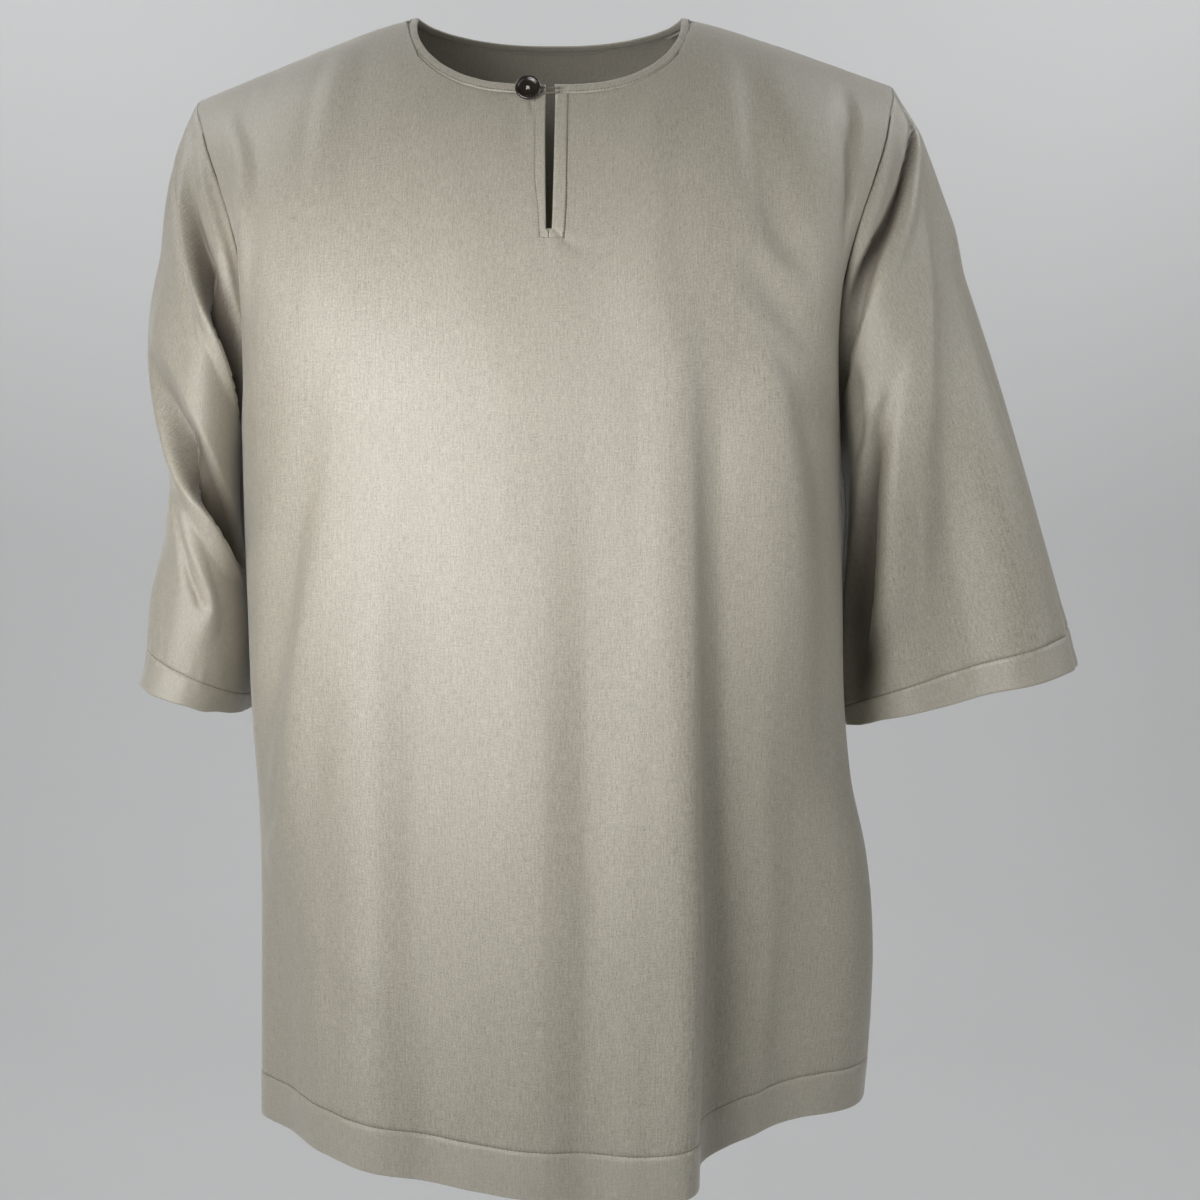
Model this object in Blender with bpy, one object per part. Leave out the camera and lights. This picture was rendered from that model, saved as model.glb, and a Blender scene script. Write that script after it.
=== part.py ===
"""A tunic top with wide elbow-length sleeves, a buttoned neck slit and side vents, in its worn, hollow form.

The origin is the middle of the shoulder line, between the two ends of the neck opening.
+X is the wearer's left, -Y is the front and +Z is up. Every size is in metres.
"""

from math import pi

import bpy
import numpy as np


def table(names, *rows):
    """A short table: one row for each section or fold, read by the names of its columns."""
    return dict(zip(names.split(), np.array(rows, dtype=float).T))


# Cloth
CLOTH = 0.0016           # wall of one layer of suiting
HEM_EXTRA = 0.0006       # what the turned hem adds to the wall
SEAM_GAP = 0.0003        # between two pieces that are sewn together
FRONT = -1               # the side that a piece faces, along Y
BACK = 1
RIGHT = -1               # the wearer's side that a piece lies on, along X
LEFT = 1
SHARP_ANGLE = 0.9        # edges that bend more than this, in radians, stay crisp

# Base colour and roughness of each material
SUITING = ((0.42, 0.39, 0.33), 0.62)
BUTTON_LOOK = ((0.030, 0.024, 0.020), 0.25)
THREAD_LOOK = ((0.30, 0.27, 0.23), 0.70)

# Shoulders and neck, from the middle of the shoulder line
TIP_OUT = {RIGHT: 0.2308, LEFT: 0.2251}
TIP_DROP = {RIGHT: 0.0530, LEFT: 0.0432}
BAND_WALL = 0.0024
BAND_SINK = 0.0003       # how far the band reaches inside the panels' inner face
NECK_EDGE = {"half": 0.0860, FRONT: 0.0705, BACK: 0.0560}
NECK_SEAM = {"half": 0.0925, FRONT: 0.0750, BACK: 0.0630}
NECK_ROUNDNESS = {FRONT: 3.0, BACK: 2.3}
NECK_OUT = 0.86          # how the band's outer side leans at the middle of the neck
NECK_UP = 0.60
SHOULDER_SLOPE = 0.35    # how steeply the body leaves the shoulder seam
SHOULDER_ROUND = 0.15    # how softly the shoulder line bends at the neck
NAPE_SQUARE = 2.0        # how squarely the upper back hangs from the nape
RIDGE_HEIGHT = 0.0022    # how far the back stands above the shoulder seam
RIDGE_PLACE = 0.10       # how far down the panel it is highest
RIDGE_END = 0.10         # share of the panel's half over which it fades at each armhole
SHOULDER_CELLS = 9
NECK_CELLS = 8           # columns round each half of the neck opening

# Slit at the front of the neck
SLIT_MIDDLE = 0.0025
SLIT_TOP_GAP = 0.0060
SLIT_END_GAP = 0.0036
SLIT_END_LEVEL = 0.49
STRIP_WIDTH = {RIGHT: 0.0065, LEFT: 0.0080}
STRIP_WALL = 0.0010
STRIP_TAIL = 0.0060      # how far the strips run on below the slit's end
STRIP_LIFT = 0.0002      # how far that tail rises, to clear the panel's curve
SLIT_CLEAR = 0.016       # no other column of the front starts this close to the middle

# Body: level 0 is the shoulder and neck seam, 1 the underarm and 2 the hem
UNDERARM = -0.270
HEM = -0.729
VENT_LEVEL = 1.45
VENT_OPEN = {FRONT: 0.022, BACK: 0.014}
BODY_HEM_DEPTH = 0.028
SHOULDER_SPREAD = 0.83   # how closely the shoulder columns follow the grain at the middle
UPPER_CELLS = (7, 7)     # rows of the grid above and below the end of the slit
LOWER_CELLS = 13
HEM_STEP = 0.004         # level over which the wall thickens into the turned hem
SIDE_LOOK = 0.6          # how far a panel's outer side looks sideways, against forwards
ARMHOLE_FADE = 3         # how fast the armhole's outline fades towards the middle
SEAM_TURN = 0.8          # how soon the wall turns from up to forwards along the armhole

RINGS = {
    FRONT: table(
        "down right left depth roundness",
        (0.270, 0.1958, 0.1862, 0.128, 2.9),
        (0.380, 0.1928, 0.1875, 0.131, 2.8),
        (0.472, 0.1890, 0.1900, 0.132, 2.7),
        (0.516, 0.1860, 0.1944, 0.133, 2.6),
        (0.570, 0.1835, 0.2040, 0.134, 2.5),
        (0.624, 0.1820, 0.2072, 0.135, 2.5),
        (0.680, 0.1812, 0.2046, 0.136, 2.5),
        (0.729, 0.1808, 0.2000, 0.136, 2.5),
    ),
    BACK: table(
        "down right left depth roundness",
        (0.270, 0.1958, 0.1862, 0.106, 2.7),
        (0.380, 0.1928, 0.1875, 0.102, 2.6),
        (0.472, 0.1890, 0.1900, 0.110, 2.5),
        (0.516, 0.1860, 0.1930, 0.116, 2.4),
        (0.570, 0.1835, 0.2000, 0.121, 2.4),
        (0.624, 0.1820, 0.2060, 0.123, 2.4),
        (0.680, 0.1812, 0.2095, 0.123, 2.4),
        (0.729, 0.1808, 0.2060, 0.122, 2.4),
    ),
}

HEM_LINE = table(
    "across front back",
    (-1.00, 0.700, 0.700),
    (-0.50, 0.711, 0.712),
    (-0.25, 0.722, 0.718),
    (0.00, 0.729, 0.722),
    (0.32, 0.728, 0.720),
    (0.44, 0.715, 0.716),
    (0.70, 0.700, 0.706),
    (0.86, 0.696, 0.698),
    (1.00, 0.686, 0.686),
)

# Armhole seam: drop is the share of the way down from the shoulder tip to the underarm
ARMHOLE = table(
    "drop right left front back",
    (0.00, 0.2308, 0.2251, 0.0002, 0.0002),
    (0.04, 0.2288, 0.2238, 0.0140, 0.0120),
    (0.10, 0.2236, 0.2200, 0.0270, 0.0230),
    (0.20, 0.2150, 0.2140, 0.0450, 0.0380),
    (0.33, 0.2030, 0.2036, 0.0615, 0.0530),
    (0.45, 0.1935, 0.1930, 0.0700, 0.0610),
    (0.58, 0.1870, 0.1845, 0.0660, 0.0600),
    (0.72, 0.1850, 0.1800, 0.0520, 0.0480),
    (0.87, 0.1890, 0.1815, 0.0260, 0.0260),
    (1.00, 0.1958, 0.1862, 0.0002, 0.0002),
)

# Folds: a straight run across a laid-out piece, with the width of each flank and the height of the ridge
FOLD_NAMES = "from_across from_down to_across to_down near far rise height"
FOLD_END = 0.25          # share of a fold's run over which it dies away
PANEL_QUIET = 0.12       # share of a panel beside its seams over which folds grow from nothing
BODY_HALF_GIRTH = 0.27
PANEL_FOLDS = {
    FRONT: table(
        FOLD_NAMES,
        (0.104, 0.180, 0.120, 0.960, 0.030, 0.058, 0.70, -0.027),
        (0.072, 0.220, 0.080, 0.960, 0.055, 0.024, 0.60, 0.006),
        (0.150, 0.280, 0.165, 0.960, 0.035, 0.045, 0.50, 0.005),
        (0.004, 0.150, 0.008, 0.660, 0.045, 0.035, 0.30, -0.004),
        (-0.205, 0.440, -0.190, 0.960, 0.040, 0.050, 0.50, -0.009),
        (-0.120, 0.500, -0.100, 0.960, 0.055, 0.055, 0.50, 0.005),
    ),
    BACK: table(
        FOLD_NAMES,
        (0.060, 0.200, 0.085, 0.960, 0.050, 0.050, 0.70, -0.015),
        (-0.070, 0.240, -0.095, 0.960, 0.055, 0.050, 0.70, -0.014),
        (0.005, 0.300, -0.005, 0.960, 0.055, 0.055, 0.60, 0.008),
        (0.150, 0.280, 0.165, 0.960, 0.040, 0.045, 0.60, 0.009),
        (-0.160, 0.320, -0.170, 0.960, 0.040, 0.045, 0.60, 0.008),
    ),
}

# Sleeves
SLEEVE_GIRTH = 0.42
SLEEVE_LENGTH = 0.38
SLEEVE_HEM_DEPTH = 0.025
SLEEVE_CELLS = 14        # rows of the grid between the last of the armhole's rows and the hem
RIM_ROWS = (0.0, 0.020, 0.045, 0.075, 0.110)
RIM_TURN = (0.55, 0.90)  # where the wall turns from beside the panels to away from them
RIM_QUIET = 0.10         # share of the length over which folds grow from nothing
UNDER_QUIET = 0.06       # share of the girth, beside the underarm line, without folds
SLEEVES = {
    RIGHT: {
        "outer": (-0.2620, -0.4310), "inner": (-0.2010, -0.4530), "middle_y": 0.002, "half_depth": 0.086,
        "roundness": 2.3, "top_lean": 0.50, "under_lean": 0.34, "bulge": 0.22,
    },
    LEFT: {
        "outer": (0.3527, -0.4228), "inner": (0.1980, -0.4640), "middle_y": 0.020, "half_depth": 0.046,
        "roundness": 2.3, "top_lean": 0.41, "under_lean": 0.32, "bulge": 0.20,
    },
}
SLEEVE_FOLDS = {
    RIGHT: table(
        FOLD_NAMES,
        (0.000, 0.030, 0.150, 0.180, 0.036, 0.030, 0.30, 0.008),
        (0.035, 0.010, 0.185, 0.150, 0.028, 0.028, 0.30, -0.009),
        (-0.005, 0.150, 0.150, 0.310, 0.036, 0.030, 0.30, 0.008),
        (0.060, 0.150, 0.180, 0.270, 0.028, 0.028, 0.30, -0.008),
        (-0.080, 0.150, 0.080, 0.150, 0.060, 0.055, 0.40, 0.007),
        (-0.060, 0.245, 0.060, 0.232, 0.036, 0.036, 0.40, -0.006),
        (-0.080, 0.330, 0.080, 0.320, 0.050, 0.050, 0.40, 0.006),
        (-0.020, 0.060, -0.150, 0.230, 0.034, 0.034, 0.30, 0.006),
        (-0.010, 0.200, -0.140, 0.350, 0.034, 0.034, 0.30, 0.005),
    ),
    LEFT: table(
        FOLD_NAMES,
        (0.020, 0.026, 0.190, 0.032, 0.018, 0.022, 0.30, -0.008),
        (0.000, -0.030, 0.002, 0.130, 0.055, 0.045, 0.30, 0.005),
        (0.095, 0.140, 0.115, 0.460, 0.030, 0.034, 0.40, -0.010),
        (0.066, 0.140, 0.080, 0.460, 0.034, 0.028, 0.40, 0.005),
        (0.135, 0.100, 0.155, 0.320, 0.030, 0.034, 0.35, 0.007),
        (-0.060, 0.080, -0.080, 0.460, 0.036, 0.036, 0.40, -0.008),
        (-0.125, 0.060, -0.135, 0.380, 0.034, 0.034, 0.35, 0.006),
    ),
}

# Button and loop
BUTTON_X = -0.0112
BUTTON_TILT = 0.20       # how far its face looks up, in radians
BUTTON_STAND = 0.0042    # from the neck band's face to the button's back
BUTTON_PROFILE = table(
    "radius height",
    (0.0016, -0.0033),
    (0.0016, 0.0000),
    (0.0062, 0.0000),
    (0.0078, 0.0009),
    (0.0080, 0.0018),
    (0.0074, 0.0027),
    (0.0066, 0.0029),
    (0.0058, 0.0023),
    (0.0030, 0.0018),
)
BUTTON_SIDES = 28
LOOP_THREAD = 0.0006     # radius of the button loop's thread
LOOP_SIDES = 6
LOOP_BEND = 0.0028       # radius of its bend round the stem
LOOP_SAG = 0.0006        # how far the bend lies below the seam
LOOP_HOLD = 0.0030       # how far its ends lie on the strip
LOOP_LEGS = table(
    "from_end upper lower",
    (0.0000, 0.0020, -0.0021),
    (0.0040, 0.0020, -0.0024),
    (0.0137, 0.0021, -0.0031),
)
LOOP_BENDS = 8           # steps of the bend round the stem


def column_at(rows, name, place):
    """Read a table's column at a place along its first column, on a smooth curve through its rows."""
    keys = list(rows.values())[0]
    values = rows[name]
    place = np.clip(np.asarray(place, dtype=float), keys[0], keys[-1])
    slopes = np.gradient(values, keys)
    row = np.clip(np.searchsorted(keys, place, side="right") - 1, 0, len(keys) - 2)
    span = keys[row + 1] - keys[row]
    share = (place - keys[row]) / span
    rise = share * share * (3 - 2 * share)
    leave = share * (1 - share) ** 2
    arrive = share * share * (share - 1)
    return (values[row] * (1 - rise) + values[row + 1] * rise
            + span * (leave * slopes[row] + arrive * slopes[row + 1]))


def smooth(share):
    """Ease from 0 to 1."""
    share = np.clip(share, 0.0, 1.0)
    return share * share * (3 - 2 * share)


def unit(vectors):
    return vectors / np.linalg.norm(vectors, axis=-1, keepdims=True)


def round_share(place, half, roundness):
    """Height of a rounded arch of half-width half and height 1 at each place."""
    return np.clip(1 - np.abs(place / half) ** roundness, 0, 1) ** (1 / roundness)


def drop_share(level):
    """Share of the way down to the underarm that a row of the upper body has gone at its sides."""
    return SHOULDER_SLOPE * level + (1 - SHOULDER_SLOPE) * (1 - np.cos(level * pi / 2))


def quarter(width, depth, roundness, share):
    """Point at a share of the way round a quarter of a rounded ring, from its front to its side."""
    turn = np.linspace(0, pi / 2, 241)
    x = width * np.sin(turn) ** (2 / roundness)
    y = depth * np.cos(turn) ** (2 / roundness)
    length = np.concatenate(([0], np.cumsum(np.hypot(np.diff(x), np.diff(y)))))
    return np.interp(share * length[-1], length, x), np.interp(share * length[-1], length, y)


def by_side(sizes, x):
    return np.where(x < 0, sizes[RIGHT], sizes[LEFT])


def neck_level(face, x, sizes):
    """Level at which the body's surface meets the neck's edge or seam, 0 along the shoulders."""
    arch = round_share(x, sizes["half"], NECK_ROUNDNESS[face])
    return 2 / pi * np.arcsin(arch * sizes[face] / RINGS[face]["depth"][0])


def neck_out(face, x):
    """Direction in which the neck's edge is thickened."""
    arch = round_share(x, NECK_SEAM["half"], NECK_ROUNDNESS[face])
    return unit(np.stack([np.zeros_like(x), face * NECK_OUT * arch, 1 - (1 - NECK_UP) * arch], axis=-1))


def shoulder_height(x):
    """Height of the shoulder line, which runs on across the neck opening."""
    half = NECK_SEAM["half"]
    drop = np.interp(x, (-half, half), (TIP_DROP[RIGHT], TIP_DROP[LEFT]))
    past = (np.abs(x) - half) / (by_side(TIP_OUT, x) - half)
    ramp = past + np.sqrt(past ** 2 + SHOULDER_ROUND ** 2)
    full = 1 + (1 + SHOULDER_ROUND ** 2) ** 0.5
    return -drop * (ramp - SHOULDER_ROUND) / (full - SHOULDER_ROUND)


def across_share(x):
    """Share of the way from the middle to the side seam for the column that starts at x on the top line."""
    out = x / by_side(TIP_OUT, x)
    return out * (SHOULDER_SPREAD + (1 - SHOULDER_SPREAD) * out * out)


def ring(face, across, down):
    """One row of the body, below the underarm, before its folds."""
    vent_start = -UNDERARM + (VENT_LEVEL - 1) * (UNDERARM - HEM)
    side_y = SEAM_GAP / 2 + VENT_OPEN[face] * smooth((down - vent_start) / (-HEM - vent_start))
    depth = column_at(RINGS[face], "depth", down) - side_y
    roundness = column_at(RINGS[face], "roundness", down)
    right = quarter(column_at(RINGS[face], "right", down), depth, roundness, np.abs(across))
    left = quarter(column_at(RINGS[face], "left", down), depth, roundness, np.abs(across))
    x = np.where(across < 0, -right[0], left[0])
    y = np.where(across < 0, right[1], left[1])
    return x, face * (side_y + y)


def chest(face, x_top, level):
    """Points of the upper body, before its folds, from the shoulder line at level 0 to the underarm at 1."""
    across = across_share(x_top)
    x_under, y_under = ring(face, across, -UNDERARM)
    drop = drop_share(level)
    x = x_top + (x_under - x_top) * smooth(level)
    for side, name in ((RIGHT, "right"), (LEFT, "left")):
        tip_x = side * TIP_OUT[side]
        under_x = side * column_at(ARMHOLE, name, 1.0)
        seam_x = side * column_at(ARMHOLE, name, drop)
        plain_x = tip_x + (under_x - tip_x) * smooth(level)
        x = x + (seam_x - plain_x) * np.clip(across * side, 0, 1) ** ARMHOLE_FADE
    rounded = np.abs(y_under) / np.abs(y_under).max()
    side_y = face * column_at(ARMHOLE, "front" if face == FRONT else "back", drop)
    y = y_under * np.sin(level * pi / 2) + side_y * (1 - rounded)
    height = shoulder_height(x_top)
    inside = (1 - across ** 2) ** 2
    if face == BACK:
        fall = drop ** (1 + NAPE_SQUARE * inside)
        place = level / RIDGE_PLACE
        height = height + RIDGE_HEIGHT * place * np.exp(1 - place) * smooth((1 - np.abs(across)) / RIDGE_END)
    else:
        fall = drop
    return np.stack([x, y, height + (UNDERARM - height) * fall], axis=-1)


def panel_row(face, x_top, level):
    """One row of a body panel's inner face, before its folds."""
    if level <= 1:
        start = neck_level(face, x_top, NECK_SEAM)
        return chest(face, x_top, start + (1 - start) * level)
    share = level - 1
    across = across_share(x_top)
    x, y = ring(face, across, -UNDERARM + share * (UNDERARM - HEM))
    hem = -column_at(HEM_LINE, "front" if face == FRONT else "back", across)
    return np.stack([x, y, UNDERARM + share * (hem - UNDERARM)], axis=-1)


def outward(grid, like, closed=False):
    """Unit normals of a grid of points, on the side of the direction that like gives."""
    down = np.gradient(grid, axis=0)
    if closed:
        across = np.roll(grid, -1, axis=1) - np.roll(grid, 1, axis=1)
    else:
        across = np.gradient(grid, axis=1)
    normals = unit(np.cross(across, down))
    return normals * np.sign(np.sum(normals * like, axis=-1, keepdims=True))


def fold_heights(across, down, folds):
    """Height of a piece's folds at places on the laid-out piece."""
    heights = np.zeros(np.broadcast(across, down).shape)
    for row in range(len(folds["height"])):
        fold = {name: column[row] for name, column in folds.items()}
        run = np.array([fold["to_across"] - fold["from_across"], fold["to_down"] - fold["from_down"]])
        length = np.hypot(*run)
        along = ((across - fold["from_across"]) * run[0] + (down - fold["from_down"]) * run[1]) / length ** 2
        aside = ((across - fold["from_across"]) * run[1] - (down - fold["from_down"]) * run[0]) / length
        flank = np.where(aside < 0, fold["near"], fold["far"])
        profile = np.clip(1 - (aside / flank) ** 2, 0, 1) ** 2
        ends = smooth(along / fold["rise"]) * smooth((1 - along) / FOLD_END)
        heights = heights + fold["height"] * profile * ends
    return heights


def panel_grids(face, x_top, levels):
    """Inner points, outer directions and walls of a body panel."""
    grid = np.array([panel_row(face, x_top, level) for level in levels])
    across = across_share(x_top)
    down = np.where(levels <= 1, -UNDERARM * levels, -UNDERARM + (levels - 1) * (UNDERARM - HEM))
    like = np.array([0.0, face, 0.0]) + SIDE_LOOK * np.sign(across)[None, :, None] * np.array([1.0, 0.0, 0.0])
    normals = outward(grid, like)
    heights = fold_heights(across[None, :] * BODY_HALF_GIRTH, down[:, None], PANEL_FOLDS[face])
    quiet_top = smooth(levels / PANEL_QUIET)[:, None]
    quiet_side = smooth((1 - np.abs(across)) / PANEL_QUIET)[None, :]
    grid = grid + normals * (heights * quiet_top * quiet_side)[..., None]
    normals = outward(grid, like)
    on_neck = np.abs(x_top) <= NECK_SEAM["half"]
    normals[0] = np.where(on_neck[:, None], neck_out(face, x_top), (0.0, 0.0, 1.0))
    for column, side in ((0, RIGHT), (-1, LEFT)):
        upper = levels <= 1
        normals[upper, column] = seam_out(side, face, drop_share(levels[upper]))
        sewn = (levels > 1) & (levels < VENT_LEVEL)
        normals[sewn, column] = (side, 0.0, 0.0)
    hem_start = 2 - BODY_HEM_DEPTH / (UNDERARM - HEM)
    walls = np.where(levels > hem_start, CLOTH + HEM_EXTRA, CLOTH)
    walls = np.repeat(walls[:, None], len(x_top), axis=1)
    return grid, normals, walls


def seam_out(side, face, drop):
    """Direction in which both pieces are thickened along the armhole seam."""
    x = side * np.sin(drop * pi / 2) ** 2
    y = face * np.sin(drop * pi) ** SEAM_TURN
    z = np.cos(drop * pi / 2)
    return unit(np.stack([x, y, z], axis=-1))


def armhole(side, face, drop):
    """Points of the armhole seam on the panels' inner face."""
    x = side * column_at(ARMHOLE, "right" if side == RIGHT else "left", drop)
    y = face * column_at(ARMHOLE, "front" if face == FRONT else "back", drop)
    z = -TIP_DROP[side] + (UNDERARM + TIP_DROP[side]) * drop
    return np.stack([x, y, z], axis=-1)


def sleeve_rim(side, drops):
    """The sleeve's top edge, down the front of the armhole and up its back, beside the panels."""
    front = armhole(side, FRONT, drops) + CLOTH * seam_out(side, FRONT, drops)
    back = armhole(side, BACK, drops) + CLOTH * seam_out(side, BACK, drops)
    rim = np.concatenate([front, back[-2:0:-1]])
    return rim + np.array([side * SEAM_GAP, 0.0, 0.0])


def rim_out(side, drops):
    """Direction of the sleeve's wall along the seam: beside the panels' rim, and away from it at the underarm."""
    aside = smooth((drops - RIM_TURN[0]) / (RIM_TURN[1] - RIM_TURN[0]))[:, None]
    turned_out = [seam_out(side, face, drops) * (1 - aside) - np.array([side, 0.0, 0.0]) * aside
                  for face in (FRONT, BACK)]
    return unit(np.concatenate([turned_out[0], turned_out[1][-2:0:-1]]))


def round_places(points):
    """Share of the way round a closed line for each of its points."""
    steps = np.linalg.norm(np.roll(points, -1, axis=0) - points, axis=1)
    return np.concatenate(([0], np.cumsum(steps)[:-1])) / steps.sum()


def sleeve_grids(side, drops, alongs):
    """Outer points, outer directions and walls of a sleeve, from its armhole to its hem."""
    sizes = SLEEVES[side]
    rim = sleeve_rim(side, drops)
    half = len(drops) - 1
    front_half = round_places(rim)[:half + 1]
    back_half = round_places(rim)[half:]
    places = np.concatenate([
        front_half / front_half[-1] * 0.5,
        (0.5 + (back_half - back_half[0]) / (1 - back_half[0]) * 0.5)[1:],
    ])
    outer = np.array([sizes["outer"][0], 0.0, sizes["outer"][1]])
    inner = np.array([sizes["inner"][0], 0.0, sizes["inner"][1]])
    middle = (outer + inner) / 2 + np.array([0.0, sizes["middle_y"], 0.0])
    turn = places * 2 * pi
    power = 2 / sizes["roundness"]
    width_share = np.sign(np.cos(turn)) * np.abs(np.cos(turn)) ** power
    depth_share = np.sign(np.sin(turn)) * np.abs(np.sin(turn)) ** power
    hem = (middle + width_share[:, None] * (outer - inner) / 2
           - depth_share[:, None] * np.array([0.0, sizes["half_depth"], 0.0]))
    axis = unit(np.array([(outer - inner)[2] * side, 0.0, -abs((outer - inner)[0])]))
    lengths = np.linalg.norm(hem - rim, axis=1, keepdims=True)
    under = ((1 - np.cos(turn)) / 2)[:, None]
    lean = sizes["top_lean"] * (1 - under) + sizes["under_lean"] * under
    leave = unit(np.concatenate([
        side * lean,
        -sizes["bulge"] * np.sin(turn)[:, None],
        -np.ones_like(lean),
    ], axis=1))
    rows = []
    for along in alongs:
        rise = along * along * (3 - 2 * along)
        rows.append(rim * (1 - rise) + hem * rise
                    + lengths * (along * (1 - along) ** 2 * leave + along * along * (along - 1) * axis))
    grid = np.array(rows)
    centre = grid.mean(axis=1, keepdims=True)
    normals = outward(grid, grid - centre, closed=True)
    around = np.where(places > 0.5, places - 1, places) * SLEEVE_GIRTH
    heights = fold_heights(around[None, :], alongs[:, None] * SLEEVE_LENGTH, SLEEVE_FOLDS[side])
    beside_under = (0.5 - np.abs(around / SLEEVE_GIRTH)) / UNDER_QUIET
    quiet = smooth(alongs / RIM_QUIET)[:, None] * smooth(beside_under)[None, :]
    grid = grid + normals * (heights * quiet)[..., None]
    normals = outward(grid, grid - centre, closed=True)
    normals[0] = rim_out(side, drops)
    walls = np.where(alongs > 1 - SLEEVE_HEM_DEPTH / SLEEVE_LENGTH, CLOTH + HEM_EXTRA, CLOTH)
    walls = np.repeat(walls[:, None], grid.shape[1], axis=1)
    return grid, normals, walls


def material(name, colour, roughness):
    made = bpy.data.materials.new(name)
    made.use_nodes = True
    shader = made.node_tree.nodes["Principled BSDF"]
    shader.inputs["Base Color"].default_value = (*colour, 1.0)
    shader.inputs["Roughness"].default_value = roughness
    shader.inputs["Metallic"].default_value = 0.0
    return made


def add_object(name, points, faces, finish):
    mesh = bpy.data.meshes.new(name)
    mesh.from_pydata([tuple(point) for point in points], [], faces)
    mesh.validate()
    mesh.shade_smooth()
    mesh.set_sharp_from_angle(angle=SHARP_ANGLE)
    made = bpy.data.objects.new(name, mesh)
    bpy.context.scene.collection.objects.link(made)
    mesh.materials.append(finish)
    return made


def add_wall(name, finish, top, bottom, closed=False, holes=(), flip=False):
    """A closed wall between two grids of points, the outer one first, with some cells left out."""
    rows, columns = top.shape[:2]
    last = columns if closed else columns - 1
    offset = rows * columns
    faces = []
    edges = {}
    for row in range(rows - 1):
        for column in range(last):
            if (row, column) in holes:
                continue
            after = (column + 1) % columns
            corners = [row * columns + column, (row + 1) * columns + column,
                       (row + 1) * columns + after, row * columns + after]
            if flip:
                corners.reverse()
            faces.append(tuple(corners))
            faces.append(tuple(corner + offset for corner in reversed(corners)))
            for one, two in zip(corners, corners[1:] + corners[:1]):
                edges[(one, two)] = (two, one, one + offset, two + offset)
    faces += [rim for (one, two), rim in edges.items() if (two, one) not in edges]
    points = np.concatenate([top.reshape(-1, 3), bottom.reshape(-1, 3)])
    used = sorted({corner for face in faces for corner in face})
    place = {corner: index for index, corner in enumerate(used)}
    faces = [tuple(place[corner] for corner in face) for face in faces]
    return add_object(name, points[used], faces, finish)


def neck_columns():
    """x of the columns that start on the neck seam: even steps round the arch, without the slit."""
    turn = np.linspace(0, pi / 2, NECK_CELLS + 1)[1:-1]
    half = NECK_SEAM["half"] * np.cos(turn) ** (2 / NECK_ROUNDNESS[FRONT])
    half = half[half > SLIT_CLEAR]
    return np.concatenate([-half, half[::-1]])


def shoulder_columns(side):
    return side * np.linspace(NECK_SEAM["half"], TIP_OUT[side], SHOULDER_CELLS + 1)


def slit_columns():
    """x of the strips' outer edges and of the slit's two edges."""
    right = SLIT_MIDDLE - SLIT_TOP_GAP / 2
    left = SLIT_MIDDLE + SLIT_TOP_GAP / 2
    return np.array([right - STRIP_WIDTH[RIGHT], right, left, left + STRIP_WIDTH[LEFT]])


def panel_levels():
    above = np.linspace(0, SLIT_END_LEVEL, UPPER_CELLS[0] + 1)
    below = np.linspace(SLIT_END_LEVEL, 1, UPPER_CELLS[1] + 1)[1:]
    hem_start = 2 - BODY_HEM_DEPTH / (UNDERARM - HEM)
    lower = np.linspace(1, hem_start, LOWER_CELLS)[1:]
    return np.concatenate([above, below, lower, [hem_start + HEM_STEP, 2.0]])


def close_slit(grid, levels, edge_columns):
    """Draw the slit's edges together towards its end."""
    for column, side in zip(edge_columns, (RIGHT, LEFT)):
        share = np.clip(levels / SLIT_END_LEVEL, 0, 1)
        grid[:, column, 0] -= side * (SLIT_TOP_GAP - SLIT_END_GAP) / 2 * share ** 2


def add_front(finish, facing_finish):
    """Front panel with its slit, and the facing strips that lie on it round the slit."""
    x_top = np.concatenate([shoulder_columns(RIGHT), neck_columns(), slit_columns(), shoulder_columns(LEFT)])
    x_top = np.sort(x_top)
    levels = panel_levels()
    grid, normals, walls = panel_grids(FRONT, x_top, levels)
    first = int(np.searchsorted(x_top, slit_columns()[0] - 1e-6))
    close_slit(grid, levels, (first + 1, first + 2))
    outer = grid + normals * walls[..., None]
    slit_rows = UPPER_CELLS[0]
    holes = {(row, first + 1) for row in range(slit_rows)}
    add_wall("front_panel", finish, outer, grid, holes=holes)
    strip = slice(first, first + 4)
    base = outer[:slit_rows + 1, strip] + normals[:slit_rows + 1, strip] * SEAM_GAP
    tail = base[-1] + unit(outer[slit_rows + 1, strip] - outer[slit_rows, strip]) * STRIP_TAIL
    tail = tail + normals[slit_rows, strip] * STRIP_LIFT
    base = np.concatenate([base, tail[None]])
    out = np.concatenate([normals[:slit_rows + 1, strip], normals[slit_rows, strip][None]])
    holes = {(row, 1) for row in range(slit_rows)}
    add_wall("slit_facing", facing_finish, base + out * STRIP_WALL, base, holes=holes)


def add_back(finish):
    x_top = np.sort(np.concatenate([shoulder_columns(RIGHT), neck_columns(), [0.0], shoulder_columns(LEFT)]))
    levels = panel_levels()
    grid, normals, walls = panel_grids(BACK, x_top, levels)
    add_wall("back_panel", finish, grid + normals * walls[..., None], grid, flip=True)


def add_sleeve(name, side, finish):
    levels = panel_levels()
    drops = drop_share(levels[levels <= 1])
    hem_start = 1 - SLEEVE_HEM_DEPTH / SLEEVE_LENGTH
    middle = np.linspace(RIM_ROWS[-1], hem_start, SLEEVE_CELLS + 1)[1:]
    alongs = np.concatenate([RIM_ROWS, middle, [hem_start + HEM_STEP, 1.0]])
    grid, normals, walls = sleeve_grids(side, drops, alongs)
    add_wall(name, finish, grid, grid - normals * walls[..., None], closed=True, flip=side == LEFT)


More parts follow.
